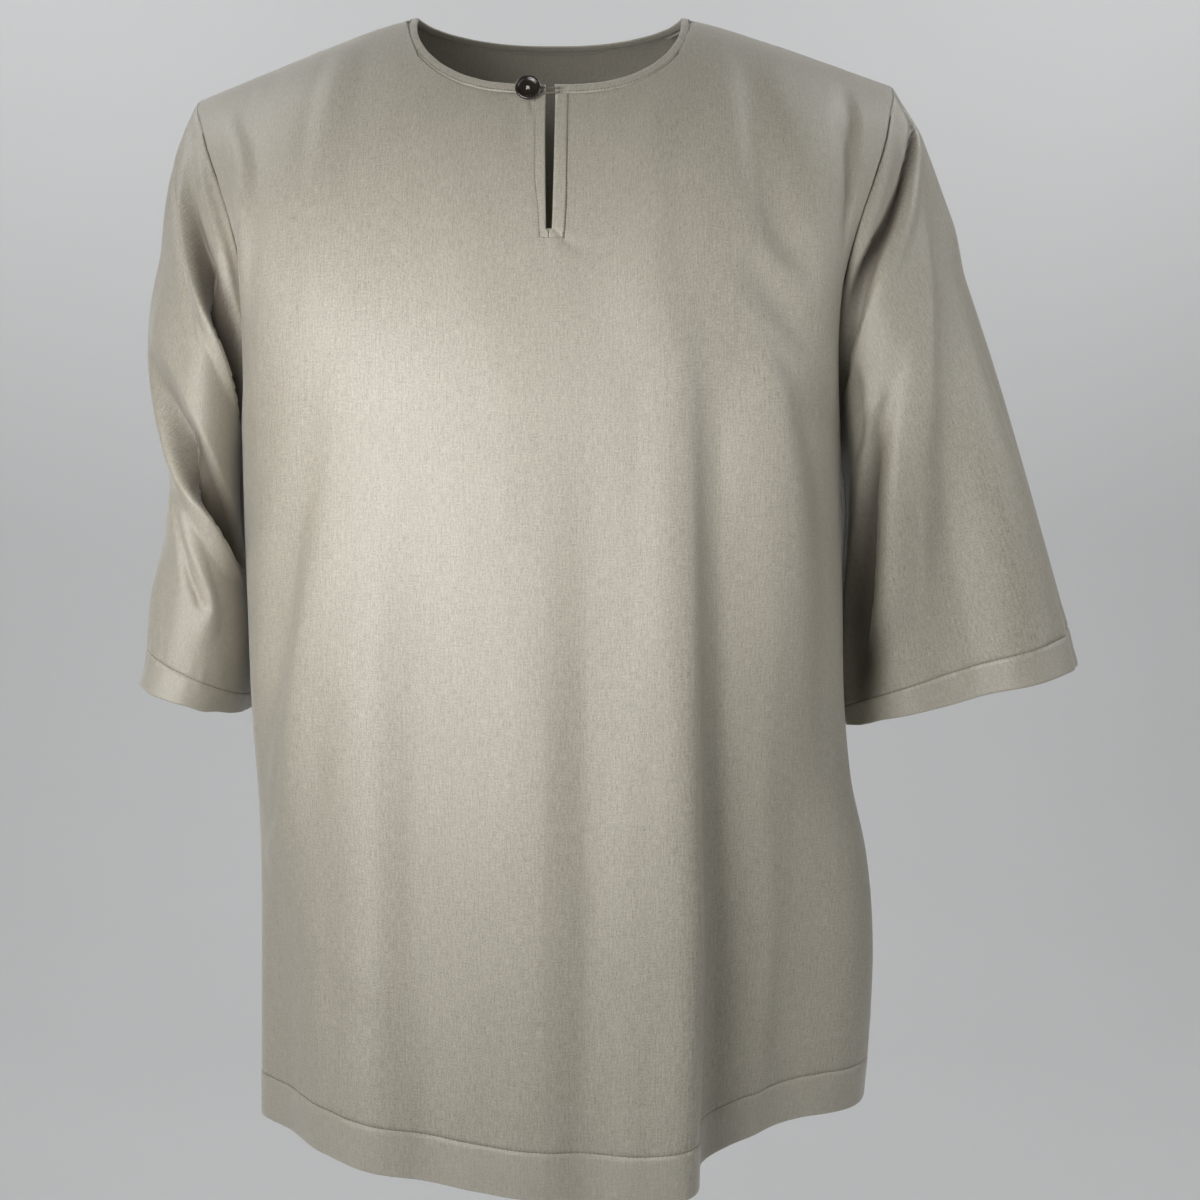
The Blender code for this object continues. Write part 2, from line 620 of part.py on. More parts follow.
def add_neck_binding(finish):
    """Band round the neck, open at the slit."""
    edges = slit_columns()[1:3]
    around = neck_columns()
    sweep = [(FRONT, x) for x in np.concatenate([[edges[1]], around[around > SLIT_CLEAR]])]
    sweep += [(BACK, x) for x in np.concatenate([around[::-1], [0.0]]) if x >= 0]
    sweep += [(BACK, x) for x in around[::-1] if x < 0]
    sweep += [(FRONT, x) for x in np.concatenate([around[around < -SLIT_CLEAR], [edges[0]]])]
    top = []
    bottom = []
    for face, x in sweep:
        place = np.array([x])
        inner = place * NECK_EDGE["half"] / NECK_SEAM["half"]
        out = neck_out(face, place)[0]
        seam = chest(face, place, neck_level(face, place, NECK_SEAM))[0]
        edge = chest(face, inner, neck_level(face, inner, NECK_EDGE))[0]
        line = np.array([seam + unit(edge - seam) * SEAM_GAP, edge])
        bottom.append(line - out * BAND_SINK)
        top.append(line + out * (BAND_WALL - BAND_SINK))
    add_wall("neck_binding", finish, np.array(top), np.array(bottom))


def turned(centre, out, up, profile, sides):
    """Points and faces of a body turned about the direction out, closed at both ends."""
    aside = np.cross(up, out)
    rounds = np.arange(sides) * 2 * pi / sides
    spokes = np.cos(rounds)[:, None] * aside + np.sin(rounds)[:, None] * up
    points = [centre + out * profile["height"][0]]
    for radius, height in zip(profile["radius"], profile["height"]):
        points += list(centre + out * height + spokes * radius)
    points.append(centre + out * profile["height"][-1])
    faces = []
    rings = len(profile["radius"])
    for side in range(sides):
        after = (side + 1) % sides
        faces.append((0, 1 + after, 1 + side))
        for row in range(rings - 1):
            low, high = 1 + row * sides, 1 + (row + 1) * sides
            faces.append((low + side, low + after, high + after, high + side))
        high = 1 + (rings - 1) * sides
        faces.append((high + side, high + after, 1 + rings * sides))
    return points, faces


def button_frame():
    """Where the button's stem meets the neck band, and the direction that its face looks in."""
    place = np.array([BUTTON_X])
    seam = chest(FRONT, place, neck_level(FRONT, place, NECK_SEAM))[0]
    base = seam + neck_out(FRONT, place)[0] * (BAND_WALL - BAND_SINK)
    out = np.array([0.0, -np.cos(BUTTON_TILT), np.sin(BUTTON_TILT)])
    up = np.array([0.0, np.sin(BUTTON_TILT), np.cos(BUTTON_TILT)])
    return base, out, up


def add_button(finish):
    base, out, up = button_frame()
    points, faces = turned(base + out * BUTTON_STAND, out, up, BUTTON_PROFILE, BUTTON_SIDES)
    add_object("button", points, faces, finish)


def add_button_loop(finish):
    """Thread loop from the slit's far edge, behind the button and round its stem."""
    turn = np.linspace(-pi / 2, pi / 2, LOOP_BENDS + 1)
    bend_x = BUTTON_X - LOOP_BEND * np.cos(turn)
    bend_up = -LOOP_BEND * np.sin(turn) - LOOP_SAG
    end_x = SLIT_MIDDLE + SLIT_TOP_GAP / 2 + LOOP_HOLD
    leg_x = end_x - LOOP_LEGS["from_end"]
    x = np.concatenate([leg_x, bend_x, leg_x[::-1]])
    rise = np.concatenate([LOOP_LEGS["upper"], bend_up, LOOP_LEGS["lower"][::-1]])
    seam = chest(FRONT, x, neck_level(FRONT, x, NECK_SEAM))
    out = neck_out(FRONT, x)
    up = unit(np.cross(np.array([1.0, 0.0, 0.0]), out)) * -1
    height = CLOTH + SEAM_GAP + STRIP_WALL + SEAM_GAP + LOOP_THREAD
    route = seam + out * height + up * rise[:, None]
    tangents = unit(np.gradient(route, axis=0))
    points = []
    for place, along, normal in zip(route, tangents, out):
        aside = unit(np.cross(along, normal))
        over = np.cross(aside, along)
        for step in range(LOOP_SIDES):
            angle = step * 2 * pi / LOOP_SIDES
            points.append(place + LOOP_THREAD * (np.cos(angle) * aside + np.sin(angle) * over))
    faces = [tuple(range(LOOP_SIDES))]
    for ring_start in range(0, len(points) - LOOP_SIDES, LOOP_SIDES):
        for step in range(LOOP_SIDES):
            after = (step + 1) % LOOP_SIDES
            faces.append((ring_start + after, ring_start + step,
                          ring_start + LOOP_SIDES + step, ring_start + LOOP_SIDES + after))
    faces.append(tuple(reversed(range(len(points) - LOOP_SIDES, len(points)))))
    add_object("button_loop", points, faces, finish)


def main():
    for old in list(bpy.data.objects):
        bpy.data.objects.remove(old, do_unlink=True)
    add_front(material("front_suiting", *SUITING), material("facing_suiting", *SUITING))
    add_back(material("back_suiting", *SUITING))
    add_sleeve("sleeve_right", RIGHT, material("right_sleeve_suiting", *SUITING))
    add_sleeve("sleeve_left", LEFT, material("left_sleeve_suiting", *SUITING))
    add_neck_binding(material("binding_suiting", *SUITING))
    add_button(material("dark_button", *BUTTON_LOOK))
    add_button_loop(material("loop_thread", *THREAD_LOOK))


main()
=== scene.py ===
from math import pi

import bpy
import numpy as np
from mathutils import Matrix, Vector


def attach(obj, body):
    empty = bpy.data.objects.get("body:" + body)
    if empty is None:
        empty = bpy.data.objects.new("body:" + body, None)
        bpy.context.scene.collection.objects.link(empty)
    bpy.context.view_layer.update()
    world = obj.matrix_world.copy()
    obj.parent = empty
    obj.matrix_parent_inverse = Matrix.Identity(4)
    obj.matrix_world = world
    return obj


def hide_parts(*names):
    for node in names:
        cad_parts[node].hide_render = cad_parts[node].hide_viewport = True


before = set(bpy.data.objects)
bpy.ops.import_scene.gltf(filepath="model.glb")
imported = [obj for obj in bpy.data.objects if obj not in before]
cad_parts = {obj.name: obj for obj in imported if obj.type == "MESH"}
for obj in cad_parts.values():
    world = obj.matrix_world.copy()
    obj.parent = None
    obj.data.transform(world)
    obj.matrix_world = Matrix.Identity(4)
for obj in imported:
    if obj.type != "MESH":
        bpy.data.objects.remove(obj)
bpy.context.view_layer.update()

front, back = -1, 1     # the side that a piece faces, along Y
right, left = -1, 1     # the wearer's side that a piece lies on, along X
faceNames = {front: "front", back: "back"}
sideNames = {right: "right", left: "left"}


def rows(names, *values):
    # a short table, read by the names of its columns
    return dict(zip(names.split(), np.array(values, dtype=float).T))


def fineRows(names, *values):
    # the same, written in millimetres apart from the columns that hold shares
    shares = ("drop", "rise", "roundness", "sharp")
    return {name: column / (1 if name in shares else 1000) for name, column in rows(names, *values).items()}


def creaseRuns(tables):
    return {name: fineRows("across down near far height sharp", *run) for name, run in tables.items()}


def foldRuns(*runs):
    return fineRows("fromAcross fromDown toAcross toDown near far rise height", *runs)


# the cut, in metres from the middle of the shoulder line

cloth = {
    "outside": 0.0016,      # from a panel's inner form to its outer face
    "thick": 0.0011,        # one layer of suiting
    "hemThick": 0.0008,     # added inside by the turned hem
    "seamGap": 0.0003,
    "rollDepth": 0.0017,    # how far a sewn edge rolls in
    "rollWidth": 0.0032,
}

neck = {
    "tipOut": {right: 0.2308, left: 0.2251},
    "tipDrop": {right: 0.0530, left: 0.0432},
    "edge": {"half": 0.0860, front: 0.0705, back: 0.0560},
    "seam": {"half": 0.0925, front: 0.0750, back: 0.0630},
    "roundness": {front: 3.0, back: 2.3},
    "bandOut": 0.86,
    "bandUp": 0.60,
    "slope": 0.35,          # how steeply the body leaves the shoulder seam
    "round": 0.15,          # how softly the shoulder line bends at the neck
    "nape": 2.0,            # how squarely the upper back hangs
    "ridge": 0.0022,        # how far the back stands above the shoulder seam
    "ridgePlace": 0.10,
    "ridgeEnd": 0.10,
}

body = {
    "underarm": -0.270,
    "hem": -0.729,
    "vent": 1.45,           # level of the vents' top; 1 is the underarm and 2 the hem
    "ventOpen": {front: 0.022, back: 0.014},
    "hemDepth": 0.028,
    "hemCrease": 0.0245,    # from the hem's stitches up to its faint pressed crease, on the front
    "ventHem": 0.012,       # depth of the turned edge beside the vents
    "spread": 0.83,
    "sideLook": 0.6,
    "fade": 3,
    "turn": 0.8,
    "quiet": 0.12,          # share of the panel beside its seams where the folds fade out
    "fineQuiet": 0.03,      # the same for creases
    "halfGirth": 0.27,
}
neckHalf = neck["seam"]["half"]
skirt = body["underarm"] - body["hem"]
hemStart = 2 - body["hemDepth"] / skirt

rings = {
    front: fineRows(
        "down right left depth roundness",
        (270, 195.8, 186.2, 128, 2.9), (380, 192.8, 187.5, 131, 2.8), (472, 189, 190, 132, 2.7),
        (516, 186, 194.4, 133, 2.6), (570, 183.5, 204, 134, 2.5), (624, 182, 207.2, 135, 2.5),
        (680, 181.2, 204.6, 136, 2.5), (729, 180.8, 200, 136, 2.5),
    ),
    back: fineRows(
        "down right left depth roundness",
        (270, 195.8, 186.2, 106, 2.7), (380, 192.8, 187.5, 102, 2.6), (472, 189, 190, 110, 2.5),
        (516, 186, 193, 116, 2.4), (570, 183.5, 200, 121, 2.4), (624, 182, 206, 123, 2.4),
        (680, 181.2, 209.5, 123, 2.4), (729, 180.8, 206, 122, 2.4),
    ),
}

hemLine = rows(
    "across front back",
    (-1, 0.7, 0.7), (-0.5, 0.711, 0.712), (-0.25, 0.722, 0.718), (0, 0.729, 0.722), (0.32, 0.728, 0.72),
    (0.44, 0.715, 0.716), (0.7, 0.7, 0.706), (0.86, 0.696, 0.698), (1, 0.686, 0.686),
)

armholeCut = fineRows(    # drop is the share of the way from the shoulder tip to the underarm
    "drop right left front back",
    (0, 230.8, 225.1, 0.2, 0.2), (0.04, 228.8, 223.8, 14, 12), (0.1, 223.6, 220, 27, 23),
    (0.2, 215, 214, 45, 38), (0.33, 203, 203.6, 61.5, 53), (0.45, 193.5, 193, 70, 61),
    (0.58, 187, 184.5, 66, 60), (0.72, 185, 180, 52, 48), (0.87, 189, 181.5, 26, 26),
    (1, 195.8, 186.2, 0.2, 0.2),
)


def ease(share):
    share = np.clip(share, 0.0, 1.0)
    return share * share * (3 - 2 * share)


def blend(one, other, share):
    return one + (other - one) * share


def bell(off, width):
    return np.exp(-(off / width) ** 2)


def unit(vectors):
    return vectors / np.maximum(np.linalg.norm(vectors, axis=-1, keepdims=True), 1e-12)


def pushed(grid, normals, height):
    return grid + normals * height[..., None]


def circled(turn, aside, over):
    turn = np.asarray(turn)[..., None]
    return np.cos(turn) * aside + np.sin(turn) * over


def runOf(points):
    # the length so far, along a line of points
    return np.concatenate(([0], np.cumsum(np.linalg.norm(np.diff(points, axis=0), axis=1))))


def curved(one, other, leave, arrive, share):
    # a curve between two points that leaves and arrives along the given slopes
    slope = leave * (1 - share) - arrive * share
    return blend(one, other, ease(share)) + share * (1 - share) * slope


def smoothAt(keys, values, place):
    # a smooth curve through the values
    place = np.clip(np.asarray(place, dtype=float), keys[0], keys[-1])
    slopes = np.gradient(values, keys)
    row = np.clip(np.searchsorted(keys, place, side="right") - 1, 0, len(keys) - 2)
    span = keys[row + 1] - keys[row]
    share = (place - keys[row]) / span
    return curved(values[row], values[row + 1], span * slopes[row], span * slopes[row + 1], share)


def columnAt(table, name, place):
    return smoothAt(list(table.values())[0], table[name], place)


def arch(place, half, roundness):
    return np.clip(1 - np.abs(place / half) ** roundness, 0, 1) ** (1 / roundness)


def dropShare(level):
    # how far down the upper body's cloth has come, steeper lower down
    return blend(1 - np.cos(level * pi / 2), level, neck["slope"])


def quarterRing(width, depth, roundness, share):
    # a place on the panel's outline from its middle to its side, by length
    power = 2 / roundness
    turn = np.linspace(0, pi / 2, 241)
    ring = np.stack([width * np.sin(turn) ** power, depth * np.cos(turn) ** power], axis=-1)
    run = runOf(ring)
    return [np.interp(share * run[-1], run, ring[:, axis]) for axis in (0, 1)]


def bySide(sizes, x):
    return np.where(x < 0, sizes[right], sizes[left])


def neckLevel(face, x, sizes):
    rise = arch(x, sizes["half"], neck["roundness"][face])
    return 2 / pi * np.arcsin(rise * sizes[face] / rings[face]["depth"][0])


def neckOut(face, x):
    rise = arch(x, neckHalf, neck["roundness"][face])
    return unit(np.stack([0 * x, face * neck["bandOut"] * rise, 1 - (1 - neck["bandUp"]) * rise], axis=-1))


def shoulderHeight(x):
    drop = np.interp(x, (-neckHalf, neckHalf), (neck["tipDrop"][right], neck["tipDrop"][left]))
    past = (np.abs(x) - neckHalf) / (bySide(neck["tipOut"], x) - neckHalf)
    ramp = past + np.sqrt(past ** 2 + neck["round"] ** 2)
    full = 1 + (1 + neck["round"] ** 2) ** 0.5
    return -drop * (ramp - neck["round"]) / (full - neck["round"])


def acrossShare(x):
    out = x / bySide(neck["tipOut"], x)
    return out * blend(out * out, 1, body["spread"])


def ringRow(face, across, down):
    ventStart = (body["vent"] - 1) * skirt - body["underarm"]
    ventShare = (down - ventStart) / (-body["hem"] - ventStart)
    sideY = cloth["seamGap"] / 2 + body["ventOpen"][face] * ease(ventShare)
    depth = columnAt(rings[face], "depth", down) - sideY
    roundness = columnAt(rings[face], "roundness", down)
    halves = [quarterRing(columnAt(rings[face], name, down), depth, roundness, np.abs(across))
              for name in sideNames.values()]
    (rightX, rightY), (leftX, leftY) = halves
    return np.where(across < 0, -rightX, leftX), face * (sideY + np.where(across < 0, rightY, leftY))


def chest(face, xTop, level):
    # the upper body from the shoulder line at level 0 to the underarm at 1; the neck is a cut along it
    across = acrossShare(xTop)
    xUnder, yUnder = ringRow(face, across, -body["underarm"])
    drop = dropShare(level)
    x = blend(xTop, xUnder, ease(level))
    for side, name in sideNames.items():
        plainX = blend(neck["tipOut"][side], columnAt(armholeCut, name, 1.0), ease(level))
        cutX = columnAt(armholeCut, name, drop)
        x = x + side * (cutX - plainX) * np.clip(across * side, 0, 1) ** body["fade"]
    rounded = np.abs(yUnder) / np.abs(yUnder).max()
    sideY = face * columnAt(armholeCut, faceNames[face], drop)
    y = yUnder * np.sin(level * pi / 2) + sideY * (1 - rounded)
    height = shoulderHeight(xTop)
    fall = drop
    if face == back:
        fall = drop ** (1 + neck["nape"] * (1 - across ** 2) ** 2)
        place = level / neck["ridgePlace"]
        ridge = neck["ridge"] * place * np.exp(1 - place)
        height = height + ridge * ease((1 - np.abs(across)) / neck["ridgeEnd"])
    return np.stack([x, y, blend(height, body["underarm"], fall)], axis=-1)


def neckPoint(face, x, sizes):
    return chest(face, x, neckLevel(face, x, sizes))


def panelRow(face, xTop, x, level):
    # xTop is where each column leaves the neck or shoulder, and x is where it runs at this level
    if level <= 1:
        start = neckLevel(face, xTop, neck["seam"])
        return chest(face, x, blend(start, 1, level))
    across = acrossShare(x)
    x, y = ringRow(face, across, (level - 1) * skirt - body["underarm"])
    hem = -columnAt(hemLine, faceNames[face], across)
    return np.stack([x, y, blend(body["underarm"], hem, level - 1)], axis=-1)


def outward(grid, like, closed=False):
    down = np.gradient(grid, axis=0)
    across = np.roll(grid, -1, axis=1) - np.roll(grid, 1, axis=1) if closed else np.gradient(grid, axis=1)
    normals = unit(np.cross(across, down))
    return normals * np.sign(np.sum(normals * like, axis=-1, keepdims=True))


def seamOut(side, face, drop):
    x = side * np.sin(drop * pi / 2) ** 2
    y = face * np.clip(np.sin(drop * pi), 0, 1) ** body["turn"]
    return unit(np.stack([x, y, np.cos(drop * pi / 2)], axis=-1))


def armhole(side, face, drop):
    x = side * columnAt(armholeCut, sideNames[side], drop)
    y = face * columnAt(armholeCut, faceNames[face], drop)
    return np.stack([x, y, blend(-neck["tipDrop"][side], body["underarm"], drop)], axis=-1)


# folds are soft troughs and ridges on a laid-out piece

unevenness = {      # amount, and how wide and tall its waves are
    "panel": (0.0005, 0.12, 0.80),
    "panelFine": (0.00010, 0.035, 0.26),
    "sleeve": (0.0004, 0.12, 0.30),
    "sleeveFine": (0.00010, 0.04, 0.12),
}

gathering = {       # pitch, width and depth
    "sideSeam": (0.011, 0.007, 0.00016),
    "topSeam": (0.013, 0.013, 0.00030),
    "hem": (0.017, 0.009, 0.00034),
    "hemFine": (0.0042, 0.0022, 0.00012),
    "sleeveHem": (0.014, 0.010, 0.00060),
    "sleeveRim": (0.012, 0.008, 0.00020),
}


def foldHeights(across, down, folds):
    # straight runs; a minus height is a trough
    heights = np.zeros(np.broadcast(across, down).shape)
    for row in range(len(folds["height"])):
        fold = {name: column[row] for name, column in folds.items()}
        runX, runY = fold["toAcross"] - fold["fromAcross"], fold["toDown"] - fold["fromDown"]
        gapX, gapY = across - fold["fromAcross"], down - fold["fromDown"]
        length = np.hypot(runX, runY)
        along = (gapX * runX + gapY * runY) / length ** 2
        aside = (gapX * runY - gapY * runX) / length
        flank = np.where(aside < 0, fold["near"], fold["far"])
        profile = np.clip(1 - (aside / flank) ** 2, 0, 1) ** 2
        heights = heights + fold["height"] * profile * ease(along / fold["rise"]) * ease((1 - along) / 0.25)
    return heights


def creaseHeights(across, down, crease):
    # one curved run through the rows of its table, with its own flanks, height and sharpness at each
    count = len(crease["across"])
    fine = np.linspace(0, count - 1, (count - 1) * 8 + 1)
    curve = {name: smoothAt(np.arange(count, dtype=float), values, fine) for name, values in crease.items()}
    best = np.full(across.shape, np.inf)
    found = {name: np.zeros(across.shape) for name in ("near", "far", "height", "sharp")}
    aside = np.zeros(across.shape)
    for step in range(len(fine) - 1):
        start = {name: values[step] for name, values in curve.items()}
        run = {name: values[step + 1] - values[step] for name, values in curve.items()}
        gapX, gapY = across - start["across"], down - start["down"]
        share = (gapX * run["across"] + gapY * run["down"]) / (run["across"] ** 2 + run["down"] ** 2)
        share = np.clip(share, 0, 1)
        gapX, gapY = gapX - share * run["across"], gapY - share * run["down"]
        distance = np.hypot(gapX, gapY)
        closer = distance < best
        best = np.where(closer, distance, best)
        aside = np.where(closer, gapX * run["down"] - gapY * run["across"], aside)
        for name in found:
            found[name] = np.where(closer, start[name] + run[name] * share, found[name])
    off = np.clip(best / np.where(aside < 0, found["near"], found["far"]), 0, 1)
    return found["height"] * blend((1 - off ** 2) ** 2, (1 - off) ** 2, found["sharp"])


def ripple(across, down, seed, kind):
    # slow unevenness of hung cloth, the same on every run
    amount, wide, tall = unevenness[kind]
    dice = np.random.default_rng(seed)
    total = np.zeros(np.broadcast(across, down).shape)
    for wave in range(9):
        turnX = 2 * pi * dice.uniform(0.5, 1.6) / wide
        turnY = 2 * pi * dice.uniform(0.5, 1.6) / tall
        total = total + np.sin(across * turnX + down * turnY * dice.choice((-1, 1)) + dice.uniform(0, 2 * pi))
    return total * amount / 3


def pucker(along, off, seed, kind):
    # fine gathering beside a line of stitches, dying away from it
    pitch, width, depth = gathering[kind]
    dice = np.random.default_rng(seed)
    wave = 0
    for octave in (1.0, 1.37, 2.1):
        wave = wave + np.sin(2 * pi * along / (pitch * octave) + dice.uniform(0, 2 * pi)) / 3
    return depth * wave * bell(off, width)


def newObject(name, points, faces, finish):
    mesh = bpy.data.meshes.new(name)
    mesh.from_pydata([tuple(p) for p in points], [], faces)
    mesh.shade_smooth()
    mesh.materials.append(finish)
    made = bpy.data.objects.new(name, mesh)
    bpy.context.scene.collection.objects.link(made)
    return made


def clothWall(name, outer, inner, place, pressedSheenAndShade, finish, closed=False, holes=(), flip=False):
    # a closed thin wall between an outer and an inner grid; place, and the pressing with its painted sheen
    # and painted shade, go to the fabric's material
    rowCount, columnCount = outer.shape[:2]
    last = columnCount if closed else columnCount - 1
    offset = rowCount * columnCount
    cell = np.zeros((rowCount - 1, last), bool)
    for row, column in holes:
        cell[row, column] = True
    grid = np.arange(offset).reshape(rowCount, columnCount)
    after = np.roll(grid, -1, axis=1)[:, :last]
    grid = grid[:, :last]
    quads = np.stack([grid[:-1], grid[1:], after[1:], after[:-1]], axis=-1)[~cell]
    if flip:
        quads = quads[:, ::-1]
    edges = np.concatenate([quads[:, [i, (i + 1) % 4]] for i in range(4)])
    keys = set(map(tuple, edges.tolist()))
    rims = [(b, a, a + offset, b + offset) for a, b in keys if (b, a) not in keys]
    faces = quads.tolist() + (quads[:, ::-1] + offset).tolist() + sorted(rims)
    points = np.concatenate([outer.reshape(-1, 3), inner.reshape(-1, 3)])
    used = np.unique(np.array([c for face in faces for c in face]))
    newIndex = np.full(len(points), -1)
    newIndex[used] = np.arange(len(used))
    made = newObject(name, points[used], newIndex[np.array(faces)].tolist(), finish)
    place = np.concatenate([place.reshape(-1, 2)] * 2)
    addPlace(made, place[used], np.concatenate([pressedSheenAndShade.ravel()] * 2)[used])
    return made


def addPlace(made, place, pressedSheenAndShade):
    # where each point lies on the laid-out cloth, in metres, and how hard it was pressed, which is painted
    # lighter as a sheen; below zero it is painted shade in folds and along seams
    held = made.data.attributes.new("clothPlace", "FLOAT_VECTOR", "POINT")
    held.data.foreach_set("vector", np.column_stack([place, np.zeros(len(place))]).ravel())
    held = made.data.attributes.new("pressedSheenAndShade", "FLOAT", "POINT")
    held.data.foreach_set("value", pressedSheenAndShade.ravel())


def tubeFaces(count, sides, flip=False):
    # faces between rings of points, with both ends closed
    faces = [tuple(range(sides))]
    for start in range(0, (count - 1) * sides, sides):
        for step in range(sides):
            after = (step + 1) % sides
            faces.append((start + after, start + step, start + sides + step, start + sides + after))
    faces.append(tuple(reversed(range((count - 1) * sides, count * sides))))
    return [face[::-1] for face in faces] if flip else faces


def besideLine(points, out):
    tangents = unit(np.gradient(points, axis=0))
    aside = unit(np.cross(tangents, out))
    return aside, np.cross(aside, tangents)


def sweptTube(points, radius, sides, out):
    # rings round a line of points, for cords and stitches
    aside, over = besideLine(points, out)
    turn = np.arange(sides) * 2 * pi / sides
    tube = points[:, None] + np.reshape(radius, (-1, 1, 1)) * circled(turn, aside[:, None], over[:, None])
    return tube.reshape(-1, 3), tubeFaces(len(points), sides)


def joined(parts):
    # several lots of points and faces as one
    points, faces, offset = [], [], 0
    for partPoints, partFaces in parts:
        points.append(partPoints)
        faces += [tuple(corner + offset for corner in face) for face in partFaces]
        offset += len(partPoints)
    return np.concatenate(points), faces


stitchCut = {       # pitch from one stitch to the next, length, radius and slant across the line
    "hem": (0.0025, 0.0019, 0.00022, 0.0),
    "band": (0.0022, 0.0017, 0.000242, 0.55),
    "strip": (0.0021, 0.0012, 0.000198, 0.0),
    "stripEnd": (0.0017, 0.0010, 0.000198, 0.0),
    "sides": 5,
    "wobble": 0.12,
}


def valueAt(spot, run, line):
    return np.array([np.interp(spot, run, line[:, axis]) for axis in range(3)])


def stitchRow(line, outs, kind):
    # short threads along a line on the cloth, half sunk into it
    pitch, length, radius, slant = stitchCut[kind]
    run = runOf(line)
    share = np.linspace(-0.5, 0.5, 5)
    threads = []
    for number, centre in enumerate(np.arange(pitch, run[-1] - pitch / 2, pitch)):
        out = unit(valueAt(centre, run, outs))
        along = unit(valueAt(centre + pitch / 3, run, line) - valueAt(centre - pitch / 3, run, line))
        way = circled(slant + stitchCut["wobble"] * np.sin(number * 2.399), along, np.cross(out, along))
        hump = radius * 0.5 * (1 - (2 * share) ** 2 * 2.2)
        points = valueAt(centre, run, line) + way * share[:, None] * length + out * hump[:, None]
        thickness = radius * np.sqrt(np.clip(1.15 - (2 * share) ** 2, 0.15, 1))
        threads.append(sweptTube(points, thickness, stitchCut["sides"], np.tile(out, (5, 1))))
    return joined(threads)


class Wire:
    # wraps a socket, so that values are worked out as expressions

    def __init__(self, tree, socket):
        self.tree = tree
        self.socket = socket

    def maths(self, operation, *values):
        return make(self.tree, "ShaderNodeMath", {"operation": operation}, values)

    def __add__(self, other):
        return self.maths("ADD", self, other)

    __radd__ = __add__

    def __sub__(self, other):
        return self.maths("SUBTRACT", self, other)

    def __rsub__(self, other):
        return self.maths("SUBTRACT", other, self)

    def __mul__(self, other):
        return self.maths("MULTIPLY", self, other)

    __rmul__ = __mul__

    def wave(self, turns):
        # from 0 to 1 and back, with so many radians to the metre
        return self.maths("SINE", self * turns) * 0.5 + 0.5

    def clipped(self):
        return make(self.tree, "ShaderNodeClamp", {}, (self, 0.0, 1.0))


def make(tree, kind, settings, values, output=0):
    # any node: its type, its settings, then the values or links of its sockets, by place or by name
    node = tree.nodes.new(kind)
    for name, value in settings.items():
        setattr(node, name, value)
    for name, value in values.items() if isinstance(values, dict) else enumerate(values):
        if isinstance(value, Wire):
            tree.links.new(value.socket, node.inputs[name])
        else:
            node.inputs[name].default_value = value
    return Wire(tree, node.outputs[output])


def newFinish(name, constants):
    made = bpy.data.materials.new(name)
    made.use_nodes = True
    for socket, value in constants.items():
        made.node_tree.nodes["Principled BSDF"].inputs[socket].default_value = value
    return made, made.node_tree


def feed(made, wires):
    # what varies over the surface
    for socket, wire in wires.items():
        made.node_tree.links.new(wire.socket, made.node_tree.nodes["Principled BSDF"].inputs[socket])
    return made


def mixColour(tree, share, one, other):
    return make(tree, "ShaderNodeMix", {"data_type": "RGBA"}, {0: share, 6: one, 7: other}, 2)


def noise(tree, place, scale, detail, rough=0.5, flat=False):
    # scale is one number, or one for each axis
    if isinstance(scale, tuple):
        place = make(tree, "ShaderNodeVectorMath", {"operation": "MULTIPLY"}, (place, scale))
        scale = 1.0
    return make(tree, "ShaderNodeTexNoise", {"noise_dimensions": "2D" if flat else "3D"},
                {"Vector": place, "Scale": scale, "Detail": detail, "Roughness": rough})


def bump(tree, strength, distance, height):
    return make(tree, "ShaderNodeBump", {}, {"Strength": strength, "Distance": distance, "Height": height})


fabric = {
    "light": (0.535, 0.498, 0.415, 1.0),
    "dark": (0.300, 0.276, 0.220, 1.0),
    # pressed cloth is painted lighter with this tone: a painted sheen; its lower roughness is real
    "paintedSheenTone": (0.540, 0.512, 0.450, 1.0),
    "paintedShadeTone": (0.070, 0.052, 0.036, 1.0),    # painted shade in the deep of the sleeves' folds, along seam and stitch lines and at the strips' outer edges
    # how strongly the painted sheen and the painted shade are mixed in
    "paintedSheenShare": 0.30,
    "paintedShadeShare": 0.90,
    "warp": 0.00052,         # pitch of the yarns along the cloth, in metres
    "weft": 0.00060,
    "warpShare": 0.55,
    "yarnTint": 0.14,
    "yarnHeight": 0.6,
    "noises": {              # wide, tall, detail, roughness, and its shares of tint, height and roughness
        "slub": (0.0008, 0.0060, 1.0, 0.5, 0.75, 0.60, 0.10),
        "longSlub": (0.00128, 0.034, 1.0, 0.5, 0.30, 0.0, 0.0),
        "crossSlub": (0.0078, 0.0008, 1.0, 0.5, 0.40, 0.35, 0.0),
        "grain": (0.0010, 0.0010, 1.0, 0.5, 0.90, 0.60, 0.0),
        "cloud": (0.055, 0.090, 3.0, 0.55, 0.16, 0.0, 0.06),
    },
    "roughness": 0.42,
    "pressedGloss": 0.08,
    "shader": {"Sheen Weight": 0.50, "Sheen Roughness": 0.35, "Specular IOR Level": 0.60,
               "Sheen Tint": (1.0, 0.97, 0.92, 1.0)},
    "bump": 0.40,
    "bumpDepth": 0.00025,
}


